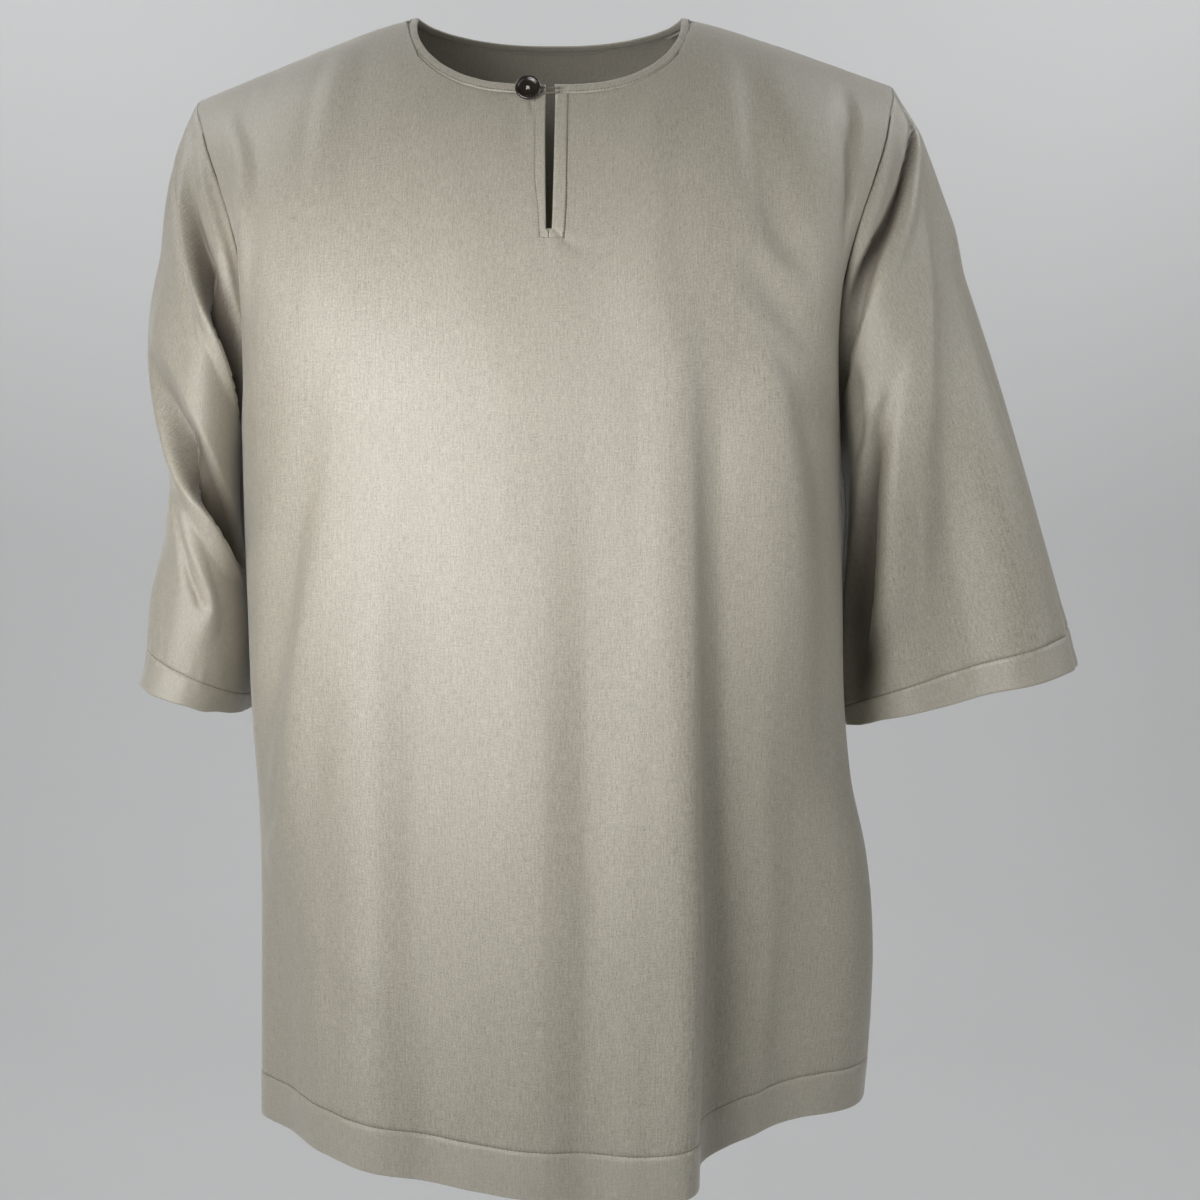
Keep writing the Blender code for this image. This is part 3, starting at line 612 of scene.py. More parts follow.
def suitingFinish(name):
    # fine plain weave with lengthwise slubs; where it was pressed it is smoother and painted lighter as a
    # sheen, and deep folds, seams and stitch lines are painted dark as shade
    made, tree = newFinish(name, fabric["shader"])
    place = make(tree, "ShaderNodeAttribute", {"attribute_name": "clothPlace"}, {}, 1)
    pressedSheenAndShade = make(tree, "ShaderNodeAttribute", {"attribute_name": "pressedSheenAndShade"}, {}, 2)
    warp, weft = (make(tree, "ShaderNodeSeparateXYZ", {}, (place,), axis).wave(2 * pi / fabric[name])
                  for axis, name in enumerate(("warp", "weft")))
    yarns = warp * fabric["warpShare"] + weft * (1 - fabric["warpShare"])
    tint = (yarns - 0.5) * fabric["yarnTint"] + 0.5
    height = yarns * fabric["yarnHeight"]
    roughness = fabric["roughness"] - pressedSheenAndShade.clipped() * fabric["pressedGloss"]
    for wide, tall, detail, rough, tintShare, heightShare, roughShare in fabric["noises"].values():
        found = noise(tree, place, (1 / wide, 1 / tall, 1.0), detail, rough, flat=True)
        tint = tint + (found - 0.5) * tintShare
        if heightShare:
            height = height + found * heightShare
        if roughShare:
            roughness = roughness + (found - 0.5) * roughShare
    colour = mixColour(tree, tint.clipped(), fabric["dark"], fabric["light"])
    # painted sheen where pressed, then painted shade where the attribute is below zero
    colour = mixColour(tree, pressedSheenAndShade * fabric["paintedSheenShare"], colour, fabric["paintedSheenTone"])
    colour = mixColour(tree, (pressedSheenAndShade * -fabric["paintedShadeShare"]).clipped(), colour, fabric["paintedShadeTone"])
    return feed(made, {"Base Color": colour, "Roughness": roughness.clipped(),
                       "Normal": bump(tree, fabric["bump"], fabric["bumpDepth"], height)})


thread = {
    "light": (0.24, 0.21, 0.165, 1.0),
    # the darker tones are painted shade between the strands, mixed with random fuzz
    "dark": (0.10, 0.085, 0.065, 1.0),
    "white": (0.72, 0.70, 0.66, 1.0),
    "whiteShade": (0.42, 0.40, 0.36, 1.0),
    "twist": 9000.0,
    "twistShare": 0.6,
    "fuzz": 1800.0,
    "fuzzShare": 0.5,
    "roughness": 0.75,
    "smoother": 0.15,        # on top of the strands
    "bump": 0.5,
    "bumpDepth": 0.0001,
    "shader": {"Sheen Weight": 0.25, "Specular IOR Level": 0.35},
}


def threadFinish(name, light, dark):
    # twisted thread, with painted shade between its strands
    made, tree = newFinish(name, thread["shader"])
    place = make(tree, "ShaderNodeTexCoord", {}, {}, 3)
    x, z = (make(tree, "ShaderNodeSeparateXYZ", {}, (place,), axis) for axis in (0, 2))
    fuzz = noise(tree, place, thread["fuzz"], 2.0) * thread["fuzzShare"]
    share = ((x + z).wave(thread["twist"]) * thread["twistShare"] + fuzz).clipped()
    return feed(made, {"Base Color": mixColour(tree, share, thread[dark], thread[light]),
                       "Roughness": thread["roughness"] - share * thread["smoother"],
                       "Normal": bump(tree, thread["bump"], thread["bumpDepth"], share)})


def addPiece(made, *nodes):
    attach(made, "root")
    if nodes:
        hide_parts(*nodes)
    return made


suiting = suitingFinish("suiting")
suitingBand = suitingFinish("suitingBand")
hemThread = threadFinish("hemThread", "light", "dark")
print("finishes made")


panelGrid = {
    "shoulderStep": 0.0032,
    "neckStep": 0.0030,
    "middleStep": 0.0011,
    "upperRows": 84,
    "lowerRows": 132,
    "settle": 0.45,        # level by which the columns stand evenly
    "edgeSteps": (0.0007, 0.0016, 0.0030),
}

slit = {
    "middle": 0.0025,
    "topGap": 0.0060,
    "endGap": 0.0036,
    "endLevel": 0.49,
    "strip": {right: 0.0065, left: 0.0080},
    "clear": 0.016,          # half width of the evenly spaced columns round the slit
    "pull": 0.006,
}
slitEdge = {side: slit["middle"] + side * slit["topGap"] / 2 for side in (right, left)}

sewn = {
    "stitchDip": 0.00060,      # how far the hem's stitches pull in, and how far more between them
    "stitchDimple": 0.00020,
    "dipWidth": 0.0011,
    # the next is the width of the painted shade along the hem's stitches
    "lineWidth": 0.0007,
    "turnStep": 0.0015,        # how sharply the turned cloth begins
    "turnRise": 0.00025,
    "nose": 0.0008,            # the hem's folded edge is rounded
    "noseIn": 0.62,
    "creaseRise": 0.00022,     # the front's faint pressed crease, and where it starts and how it fades in
    "creaseWidth": 0.0014,
    "creaseStart": -0.035,
    "creaseFade": 0.05,
    # widths of the painted shade along the seams
    "seamWidth": 0.0009,
    "sideSeamWidth": 0.0008,
    "neckRoll": 0.35,          # share of the roll at the neck, under the band
    "underDip": 0.0006,        # how far the sleeve's seam pulls in, and how wide
    "underWidth": 0.0016,
}

paintedSheenAndShade = {                       # painted sheen and painted shade: how much lighter pressed cloth is painted, and how much darker seams, stitch lines and folds are painted where shade falls
    "turned": 0.65,
    "stitches": -0.40,
    "edge": 0.8,
    "vent": 0.5,
    "crease": 0.7,
    "belowCrease": 0.15,
    "seam": -0.8,
    "fold": -0.9,
}

frontFolds = foldRuns(
    (102, 180, 110, 960, 24, 44, 0.7, -18), (72, 220, 80, 960, 55, 24, 0.6, 6),
    (148, 240, 164, 960, 78, 88, 0.8, -33), (-205, 440, -190, 960, 40, 50, 0.5, -9),
    (-120, 500, -100, 960, 55, 55, 0.5, 5), (-2, 260, -6, 960, 46, 30, 0.4, 4.8),
    (32, 240, 29, 960, 30, 28, 0.35, -2.2), (-112, 320, -116, 960, 30, 36, 0.4, 3.4),
    (-74, 240, -80, 960, 32, 32, 0.4, -4), (-136, 0, -142, 260, 18, 22, 0.35, 1.4),
)

frontCreases = creaseRuns({
    "longFold": (
        (67.2, 15, 30, 14, 0, 0.1), (67.2, 60, 32, 16, 1.8, 0.2), (67.2, 130, 32, 16, 2.2, 0.2),
        (68, 195, 32, 16, 2.2, 0.2), (75.5, 225, 32, 18, 2.2, 0.2), (82.5, 250, 32, 20, 2.8, 0.2),
        (84.6, 320, 32, 22, 4, 0.2), (85.2, 400, 34, 24, 4.8, 0.2), (86, 520, 34, 26, 4.6, 0.2),
        (86.8, 640, 30, 24, 4, 0.2), (87.1, 760, 28, 22, 3.6, 0.2),
    ),
    "besideLongFold": (
        (96, 230, 12, 18, 0, 0), (99, 280, 13, 20, -2, 0), (100, 360, 14, 22, -3.4, 0),
        (101, 500, 14, 24, -4.4, 0), (102, 640, 14, 24, -4.4, 0), (103, 760, 14, 24, -4, 0),
    ),
    "secondLobe": (
        (135, 236, 24, 10, 0, 0.3), (138, 247, 32, 12, 4, 0.3), (143.4, 263, 38, 20, 7.2, 0.3),
        (145.2, 284, 40, 25, 8.8, 0.3), (150.6, 309, 42, 28, 8.8, 0.2), (156.2, 335, 42, 29, 7.8, 0.2),
        (161.8, 365, 42, 30, 6.4, 0.2), (167.5, 399, 42, 30, 5, 0.2), (176, 450, 38, 22, 2.6, 0.1),
        (182, 520, 30, 18, 0, 0.1),
    ),
    "chestTrough": (
        (3.5, 20, 50, 55, -1, 0.1), (3.5, 80, 52, 58, -2.2, 0.1), (3, 140, 60, 60, -3, 0.1),
        (3, 200, 60, 60, -2.6, 0.1), (4, 260, 55, 50, 0, 0),
    ),
    "chestValley": (
        (133, 50, 16, 24, 0, 0), (134.4, 90, 18, 28, -2, 0.1), (136.2, 122.5, 20, 32, -3.6, 0.1),
        (139.8, 143, 20, 36, -4.6, 0.1), (145.2, 168, 20, 38, -5.4, 0.1), (156.2, 186, 20, 32, -4.8, 0.1),
        (171.3, 195, 18, 22, -2.6, 0.1), (185, 203, 14, 14, 0, 0.1),
    ),
    "underarmValley": (
        (122, 192, 14, 14, 0, 0.1), (130, 199, 18, 14, -2.2, 0.2), (140, 208.5, 20, 16, -4.6, 0.2),
        (153, 217.5, 22, 18, -5.6, 0.2), (168, 227, 22, 18, -5, 0.2), (185, 236, 20, 16, -2.6, 0.1),
        (205, 245, 16, 14, 0, 0.1),
    ),
    "armholeRidge": (
        (-240, 60, 14, 12, 0, 0.1), (-224, 105, 18, 16, 3, 0.1), (-217.5, 135, 20, 20, 4, 0.1),
        (-220, 180, 18, 22, 3.6, 0.1), (-225, 250, 14, 20, 0, 0.1),
    ),
    "armholeHollow": (
        (218, 45, 16, 12, 0, 0.1), (222, 82, 22, 14, -3.6, 0.2), (221, 107, 24, 16, -5.2, 0.2),
        (225, 129, 24, 16, -5.2, 0.2), (229, 150, 20, 14, -3.8, 0.2), (230, 190, 16, 12, 0, 0.1),
    ),
    "tuckUnderButton": (
        (-12.5, 3, 3, 3, 0, 0.5), (-9, 12, 3, 4, -1.1, 0.5), (-8.5, 26, 5, 6, -0.4, 0.2),
        (-9, 50, 8, 10, 0, 0),
    ),
    "stripHollow": (
        (-16.5, 6, 8, 6, 0, 0), (-15, 30, 12, 7, -0.9, 0), (-13.5, 70, 14, 8, -0.6, 0),
        (-12, 110, 14, 8, 0, 0),
    ),
    "underSlit": (
        (4, 130, 4, 4, 0.6, 0.5), (6.2, 142, 6, 6, 0.9, 0.4), (7.5, 154, 9, 9, 0.4, 0.2),
        (9, 175, 12, 12, 0, 0),
    ),
    "underSlitTuck": (
        (4.5, 130, 3, 3, -0.4, 0.8), (11, 140, 3, 5, -1.1, 0.6), (24, 152, 6, 10, -0.4, 0.2),
        (38, 162, 10, 14, 0, 0),
    ),
    "waistCrease": (
        (-156, 460, 3, 4, 0, 0.8), (-153.5, 452, 3, 6, 0.8, 0.7), (-148, 444, 4, 8, 0, 0.3),
    ),
    "sideValley": (
        (-140, 240, 22, 14, 0, 0), (-144, 305, 26, 17, -2, 0.1), (-154, 350, 28, 18, -3.8, 0.1),
        (-163, 390, 28, 18, -5, 0.1), (-178, 438, 26, 19, -5.2, 0.1), (-196, 478, 22, 19, -4, 0.1),
        (-215, 525, 18, 18, 0, 0.1),
    ),
    "sideRidge": (
        (-136, 325, 12, 26, 0, 0), (-144, 385, 14, 28, 2.4, 0.1), (-154, 440, 16, 30, 3.4, 0.1),
        (-166, 500, 16, 28, 3.6, 0.2), (-181, 530, 14, 24, 3, 0.2), (-207, 552, 12, 18, 1.4, 0.1),
        (-220, 560, 10, 14, 0, 0.1),
    ),
    "lowerSweep": (
        (-215, 585, 30, 20, 0, 0), (-160, 615, 40, 22, -1.2, 0), (-105, 645, 40, 24, -1.2, 0),
        (-60, 675, 30, 24, 0, 0),
    ),
})

backFolds = foldRuns(
    (60, 200, 85, 960, 50, 50, 0.7, -15), (-70, 240, -95, 960, 55, 50, 0.7, -14),
    (5, 300, -5, 960, 55, 55, 0.6, 8), (150, 280, 165, 960, 40, 45, 0.6, 9),
    (-160, 320, -170, 960, 40, 45, 0.6, 8),
)

backCreases = creaseRuns({
    "bladeLeft": (
        (190, 90, 20, 20, 0, 0), (150, 160, 24, 24, -3, 0.1), (115, 230, 24, 26, -2.2, 0.1),
        (95, 300, 24, 24, 0, 0),
    ),
    "bladeRight": (
        (-200, 100, 20, 20, 0, 0), (-160, 175, 24, 24, -2.6, 0.1), (-125, 250, 26, 24, -2, 0.1),
        (-105, 330, 24, 24, 0, 0),
    ),
    "waistSweep": (
        (-220, 420, 18, 22, 0, 0), (-150, 455, 20, 26, -3, 0.1), (-70, 475, 20, 26, 0, 0),
    ),
})


def panelLevels():
    upper = np.linspace(0, 1, panelGrid["upperRows"] + 1)
    upper = np.concatenate([[0.0, 0.0025, 0.0060], upper[1:]])
    upper = upper[np.abs(upper - slit["endLevel"]) > 0.004]
    lower = np.linspace(1, hemStart - 0.006, panelGrid["lowerRows"] + 1)[1:]
    stitched = hemStart + np.array([-0.0035, -0.0015, 0.0, 0.0015, 0.0040])
    creaseLine = hemStart - body["hemCrease"] / skirt + np.array([-0.0030, 0.0, 0.0030])
    hem = np.linspace(hemStart + 0.008, 2 - 0.0024, 10)
    tail = [2 - 0.0012, 2 - 0.0004, 2.0]
    lower = lower[np.min(np.abs(lower[:, None] - creaseLine), axis=1) > 0.0012]
    return np.sort(np.concatenate([upper, [slit["endLevel"]], lower, creaseLine, stitched, hem, tail]))


def sideColumns(side):
    tip = neck["tipOut"][side]
    near, beside, last = panelGrid["edgeSteps"]
    plain = np.linspace(neckHalf, tip - last, int((tip - neckHalf) / panelGrid["shoulderStep"]))
    return side * np.concatenate([plain, [tip - beside, tip - near, tip]])


def neckColumns(face, stop):
    # evenly along the neck's edge at the top, and evenly across the panel lower down
    power = 2 / neck["roundness"][face]
    turn = np.linspace(0, pi / 2, 400)
    x = neckHalf * np.cos(turn) ** power
    run = runOf(np.column_stack([x, neck["seam"][face] * np.sin(turn) ** power]))
    end = np.interp(-stop, -x, run)
    count = int(end / panelGrid["neckStep"])
    return np.interp(np.linspace(0, end, count)[1:], run, x), np.linspace(neckHalf, stop, count)[1:]


def panelColumns(face, middle, stop):
    sides = [sideColumns(right), sideColumns(left)]
    lines = neckColumns(face, stop)
    return [np.sort(np.concatenate([*sides, -columns, middle, columns])) for columns in lines]


def panelForm(face, xTop, xLow, levels, folds, creases, seed):
    # inner form, outward directions and the places on the laid-out panel
    settled = 1 - (1 - np.clip(levels / panelGrid["settle"], 0, 1))[:, None] ** 2
    x = blend(xTop, xLow, settled)
    grid = np.array([panelRow(face, xTop, x[row], level) for row, level in enumerate(levels)])
    across = acrossShare(x)
    like = np.array([0.0, face, 0.0]) + body["sideLook"] * np.sign(across)[..., None] * np.array([1.0, 0, 0])
    down = np.where(levels <= 1, -body["underarm"] * levels, (levels - 1) * skirt - body["underarm"])
    flatX, flatY = across * body["halfGirth"], down[:, None] + 0 * across
    fromSide = 1 - np.abs(across)
    quiet = ease(levels / body["quiet"])[:, None] * ease(fromSide / body["quiet"])
    grid = pushed(grid, outward(grid, like), foldHeights(flatX, flatY, folds) * quiet)
    fine = sum(creaseHeights(flatX, flatY, crease) for crease in creases.values())
    uneven = ripple(flatX, flatY, seed, "panel") + ripple(flatX, flatY, seed + 1, "panelFine")
    fine = fine + uneven * quiet
    fine = fine * ease(levels / body["fineQuiet"])[:, None] * ease(fromSide / body["fineQuiet"])
    grid = pushed(grid, outward(grid, like), fine)
    normals = outward(grid, like)
    onNeck = np.abs(xTop) <= neckHalf
    normals[0] = np.where(onNeck[:, None], neckOut(face, xTop), (0.0, 0.0, 1.0))
    for column, side in ((0, right), (-1, left)):
        upper = levels <= 1
        normals[upper, column] = seamOut(side, face, dropShare(levels[upper]))
        normals[(levels > 1) & (levels < body["vent"]), column] = (side, 0.0, 0.0)
    return grid, normals, flatX, flatY


def hemRelief(flatX, fromHem, depth):
    # how far the hem's stitches pull in, where the cloth is turned and how it was pressed; the pressed hem
    # and its folded edge get painted sheen and the stitch line painted shade
    off = fromHem - depth
    dimple = 0.5 + 0.5 * np.cos(2 * pi * flatX / stitchCut["hem"][0])
    dip = bell(off, sewn["dipWidth"]) * (sewn["stitchDip"] + sewn["stitchDimple"] * dimple)
    turned = ease(-off / sewn["turnStep"])
    pressedSheenAndShade = paintedSheenAndShade["turned"] * turned + paintedSheenAndShade["stitches"] * bell(off, sewn["lineWidth"])
    return off, dip, turned, pressedSheenAndShade + paintedSheenAndShade["edge"] * bell(fromHem, sewn["turnStep"])


def wallFaces(grid, normals, outside, dip, turned, fromHem):
    outer = pushed(grid, normals, outside - dip + sewn["turnRise"] * turned)
    inner = pushed(grid, normals, outside - cloth["thick"] - dip - cloth["hemThick"] * turned)
    nose = sewn["noseIn"] * np.clip(1 - fromHem / sewn["nose"], 0, 1) ** 2
    middle = (outer + inner) / 2
    return pushed(outer, middle - outer, nose), pushed(inner, middle - inner, nose)


def panelFaces(face, grid, normals, xTop, levels, flatX, flatY, seed):
    # outer and inner faces: sewn edges roll in, hems are turned, stitched and pressed; pressed parts and the
    # front's crease get painted sheen, seam lines painted shade
    fromSide = body["halfGirth"] - np.abs(flatX[-1])
    fromTop = np.linalg.norm(grid - grid[0], axis=-1)
    fromHem = (2 - levels)[:, None] * skirt + 0 * flatX
    onNeck = np.abs(xTop) <= neckHalf
    sewnSide = (levels < body["vent"])[:, None] * 1.0
    hemOff, stitchDip, turned, pressedSheenAndShade = hemRelief(flatX, fromHem, body["hemDepth"])
    topRoll = bell(fromTop, cloth["rollWidth"] / 2) * np.where(onNeck, sewn["neckRoll"], 1.0)
    sideRoll = bell(fromSide, cloth["rollWidth"] / 2) * sewnSide
    dip = stitchDip + cloth["rollDepth"] * np.maximum(topRoll, sideRoll)
    dip = dip + pucker(flatY, fromSide, seed + 2, "sideSeam") * sewnSide
    dip = dip + pucker(flatX, fromTop, seed + 4, "topSeam") * onNeck * ease(fromTop / 0.003)
    dip = dip + pucker(flatX, hemOff - 0.002, seed + 3, "hem")
    dip = dip + pucker(flatX, hemOff - 0.0015, seed + 5, "hemFine")
    creaseOff = hemOff - body["hemCrease"]
    creaseShow = (face == front) * ease((flatX - sewn["creaseStart"]) / sewn["creaseFade"])
    creaseShow = creaseShow * (0.65 + 0.35 * np.sin(flatX * 310))
    dip = dip - sewn["creaseRise"] * creaseShow * bell(creaseOff, sewn["creaseWidth"])
    beside = ease((body["ventHem"] - fromSide) / sewn["turnStep"]) * (1 - sewnSide)
    outer, inner = wallFaces(grid, normals, cloth["outside"], dip, np.maximum(turned, beside), fromHem)
    # painted highlight along the front's pressed crease, painted sheen below it, and painted shade along the
    # seams
    creasePaintedSheen = paintedSheenAndShade["crease"] * bell(creaseOff, 0.0011) + paintedSheenAndShade["belowCrease"] * ease(-creaseOff / 0.002)
    sideLine = bell(fromSide, sewn["sideSeamWidth"]) * sewnSide
    paintedSeamShade = np.maximum(bell(fromTop, sewn["seamWidth"]) * (1 - onNeck), sideLine)
    pressedSheenAndShade = pressedSheenAndShade + paintedSheenAndShade["vent"] * beside + creaseShow * creasePaintedSheen + paintedSheenAndShade["seam"] * paintedSeamShade
    return outer, inner, pressedSheenAndShade


def makePanel(name, face, middle, stop, folds, creases, seed):
    levels = panelLevels()
    xTop, xLow = panelColumns(face, middle, stop)
    grid, normals, flatX, flatY = panelForm(face, xTop, xLow, levels, folds, creases, seed)
    holes = []
    if face == front:
        # the slit narrows towards its end
        narrow = (slit["topGap"] - slit["endGap"]) / 2 * np.clip(levels / slit["endLevel"], 0, 1) ** 2
        beside = xTop - slit["middle"]
        spread = np.exp(-np.maximum(np.abs(beside) - slit["topGap"] / 2, 0) / slit["pull"])
        grid[..., 0] -= np.sign(beside) * narrow[:, None] * spread
        first = int(np.argmin(np.abs(xTop - slitEdge[right])))
        holes = [(row, first) for row in range(int(np.argmin(np.abs(levels - slit["endLevel"]))))]
    outer, inner, pressedSheenAndShade = panelFaces(face, grid, normals, xTop, levels, flatX, flatY, seed + 10)
    place = np.stack([flatX, flatY], axis=-1)
    made = clothWall(name, outer, inner, place, pressedSheenAndShade, suiting, holes=holes, flip=face == back)
    return made, {"outer": outer, "normals": normals, "levels": levels, "xTop": xTop}


def hemStitches(panel):
    row = int(np.argmin(np.abs(panel["levels"] - hemStart)))
    return stitchRow(panel["outer"][row, 2:-2], panel["normals"][row, 2:-2], "hem")


step, clear = panelGrid["middleStep"], slit["clear"]
besideSlit = [*np.arange(slitEdge[right], -clear, -step)[::-1], *np.arange(slitEdge[left], clear, step)]
frontPanel, frontGrid = makePanel("frontPanel", front, besideSlit, clear + step, frontFolds, frontCreases, 11)
backPanel, backGrid = makePanel("backPanel", back, [0.0], panelGrid["neckStep"], backFolds, backCreases, 31)
addPiece(frontPanel, "front_panel")
addPiece(backPanel, "back_panel")
bodyStitches = [hemStitches(frontGrid), hemStitches(backGrid)]
bodyStitches = addPiece(newObject("bodyHemStitches", *joined(bodyStitches), hemThread))
print("panels made", len(frontPanel.data.polygons), len(backPanel.data.polygons))


sleeve = {
    "girth": 0.42,
    "length": 0.38,
    "hemDepth": 0.025,
    "rows": 150,
    "rimTurn": (0.55, 0.90),
    "rimQuiet": 0.10,
    "underQuiet": 0.06,
    "hemWave": 0.0004,
    "paintedShadeLeast": 0.3,           # share of the folds' painted shade that shows farthest out
    "paintedShadeFade": 0.042,
    right: {
        "outer": (-0.2620, -0.4310), "inner": (-0.2010, -0.4530), "middleY": 0.002, "halfDepth": 0.086,
        "roundness": 2.3, "depthPowers": (2.3, 0.435), "topLean": 0.50, "underLean": 0.34, "bulge": 0.22,
        "paintedShadeFolds": {"capValley": 0.0055, "elbowValley": 0.0050},    # depth at which each fold's painted shade is darkest
        "paintedShadeStart": 0.247,     # how far out their painted shade starts to grow towards the body
    },
    left: {
        "outer": (0.3527, -0.4228), "inner": (0.1980, -0.4640), "middleY": 0.020, "halfDepth": 0.050,
        "roundness": 2.3, "depthPowers": (2.2, 0.65), "topLean": 0.41, "underLean": 0.32, "bulge": 0.20,
        "paintedShadeFolds": {"capCrease": 0.0050, "innerValley": 0.0095}, "paintedShadeStart": 0.320,
    },
}

sleeveFolds = {
    right: foldRuns(
        (-80, 150, 80, 150, 60, 55, 0.4, 7), (-60, 245, 60, 232, 36, 36, 0.4, -6),
        (-80, 330, 80, 320, 50, 50, 0.4, 6), (-20, 60, -150, 230, 34, 34, 0.3, 6),
        (-10, 200, -140, 350, 34, 34, 0.3, 5),
    ),
    left: foldRuns(
        (20, 26, 190, 32, 18, 22, 0.3, -8), (0, -30, 2, 130, 55, 45, 0.3, 5),
        (95, 140, 115, 460, 30, 34, 0.4, -10), (66, 140, 80, 460, 34, 28, 0.4, 5),
        (135, 100, 155, 320, 30, 34, 0.35, 7), (-60, 80, -80, 460, 36, 36, 0.4, -8),
        (-125, 60, -135, 380, 34, 34, 0.35, 6),
    ),
}

sleeveCreases = {
    right: creaseRuns({
        "armholeRidge": (
            (40, 8, 8, 6, 0, 0.1), (66.3, 16, 12, 10, 2.4, 0.1), (85, 19, 12, 12, 3, 0.1),
            (105, 21, 12, 12, 2, 0.1), (125, 23, 10, 10, 0, 0.1),
        ),
        "capValley": (
            (45, 33, 10, 12, -0.8, 0.1), (66.3, 43, 14, 16, -6, 0.1), (85, 51, 18, 22, -14, 0.2),
            (106, 56, 20, 28, -23, 0.2), (128.8, 55, 22, 34, -30, 0.2), (155, 48, 22, 34, -23, 0.1),
            (190, 42, 22, 30, 0, 0.1),
        ),
        "capRidge": (
            (18, 14, 10, 10, 0, 0.2), (31.2, 27, 13, 12, 2.2, 0.2), (47.1, 43.4, 14, 15, 4.4, 0.2),
            (64.5, 59, 14, 17, 5.4, 0.2), (88.5, 72, 15, 19, 5.6, 0.2), (110.8, 78, 16, 20, 5.2, 0.2),
            (139.6, 69, 16, 18, 3.4, 0.1), (170, 46, 14, 14, 0, 0.1),
        ),
        "capLine": (
            (6, 41, 8, 3, 0, 0.4), (20.1, 46.8, 10, 3, -1.4, 0.6), (38.9, 57.3, 11, 4, -2.4, 0.7),
            (57.4, 69.4, 12, 4, -2.8, 0.7), (73.6, 83.3, 12, 4, -2.6, 0.7), (90.4, 98.9, 12, 5, -1.6, 0.6),
            (104, 115, 10, 6, 0, 0.3),
        ),
        "elbowRidge": (
            (16.3, 140, 16, 16, 0, 0.1), (34, 172, 20, 18, 3, 0.1), (56, 198, 22, 19, 5.4, 0.2),
            (84.7, 214, 22, 20, 6.4, 0.2), (118.6, 222, 22, 20, 6.2, 0.2), (148.9, 230, 20, 20, 4, 0.1),
            (183.7, 225, 16, 16, 0, 0.1),
        ),
        "elbowValley": (
            (40, 150, 14, 20, 0, 0.1), (60, 173, 18, 30, -6, 0.1), (80, 189, 18, 38, -14, 0.2),
            (110, 200, 20, 46, -24, 0.2), (140, 204, 20, 48, -29, 0.2), (165, 199, 20, 46, -20, 0.1),
            (198, 190, 20, 38, 0, 0.1),
        ),
        "cuffCrease": (
            (46, 212, 8, 8, 0, 0.3), (55.6, 234.2, 10, 10, -1.4, 0.4), (77.3, 255.1, 12, 10, -2.6, 0.5),
            (99.6, 277.6, 13, 9, -3.6, 0.5), (115, 290, 12, 8, -3.2, 0.5), (126, 296, 10, 8, 0, 0.3),
        ),
        "cuffRidge": (
            (60, 228, 10, 12, 0, 0.1), (85, 240, 12, 16, 2, 0.1), (102, 256, 12, 19, 3.4, 0.2),
            (115, 271, 12, 20, 4.4, 0.3), (125, 286, 12, 20, 4.6, 0.3), (124, 304, 14, 20, 3.4, 0.2),
            (116, 330, 14, 18, 0, 0.1),
        ),
    }),
    left: creaseRuns({
        "capCrease": (
            (10.9, 1, 3, 3, -1, 0.6), (6, 13, 4, 3, -3.6, 0.8), (8, 19, 5, 4, -5.2, 0.8),
            (19, 25.5, 5, 4, -6, 0.8), (36.6, 31.2, 6, 5, -6.4, 0.8), (56.3, 33.5, 8, 6, -6.4, 0.7),
            (81.7, 32.5, 11, 8, -6.2, 0.5), (110.5, 24, 14, 10, -5.2, 0.4), (140, 13, 14, 11, 0, 0.2),
        ),
        "capRidge": (
            (8, 24, 8, 10, 0.6, 0.1), (26.3, 38, 10, 14, 3, 0.2), (48, 46, 10, 16, 3.2, 0.2),
            (80, 52, 12, 20, 2.2, 0.1), (115, 60, 14, 24, 0, 0),
        ),
        "lobe": (
            (140, 78, 10, 12, 0, 0.1), (134, 100, 14, 14, 3.4, 0.2), (130, 118, 14, 14, 3.6, 0.2),
            (130, 150, 12, 14, 0, 0.1),
        ),
        "innerValley": (
            (123, 112, 8, 10, 0, 0.2), (131, 126, 16, 14, -4.4, 0.3), (143, 152, 26, 22, -10, 0.2),
            (156, 190, 32, 26, -14, 0.1), (166, 245, 34, 28, -15, 0), (174, 310, 34, 26, -11, 0),
            (180, 370, 30, 22, -5, 0),
        ),
        "innerRidge": (
            (104, 114, 12, 7, 0, 0.1), (110.5, 129, 18, 9, 2.6, 0.2), (120.5, 158, 22, 12, 3.8, 0.2),
            (133.2, 203, 24, 14, 3.6, 0.1), (144.5, 264, 24, 16, 2, 0), (156, 330, 20, 16, 0, 0),
        ),
        "shadeBesideCap": (
            (148, 45, 10, 10, 0, 0.1), (149, 65, 14, 12, -4.4, 0.1), (151, 90, 14, 14, -5.4, 0.1),
            (156, 120, 12, 12, 0, 0.1),
        ),
        "outerCrest": (
            (42, 60, 12, 20, 0, 0), (64, 82, 14, 26, 2, 0), (86, 120, 15, 26, 3, 0.1),
            (106, 180, 16, 22, 2.8, 0.1), (115, 240, 16, 22, 2, 0), (120, 310, 14, 20, 0, 0),
        ),
        "outerFace": (
            (50, 70, 20, 50, 0, 0), (52, 130, 24, 70, 5, 0), (56, 200, 30, 90, 9, 0),
            (56, 280, 30, 100, 10, 0), (56, 360, 30, 100, 9, 0), (56, 440, 30, 100, 8, 0),
        ),
        "outerBand": (
            (15, 50, 24, 14, 0, 0), (42, 88, 28, 17, -3, 0), (67, 126, 30, 19, -4.2, 0),
            (88, 184, 32, 20, -4.4, 0), (97, 244, 32, 20, -3.8, 0), (104, 310, 30, 20, -1.6, 0),
            (108, 350, 26, 18, 0, 0),
        ),
    }),
}


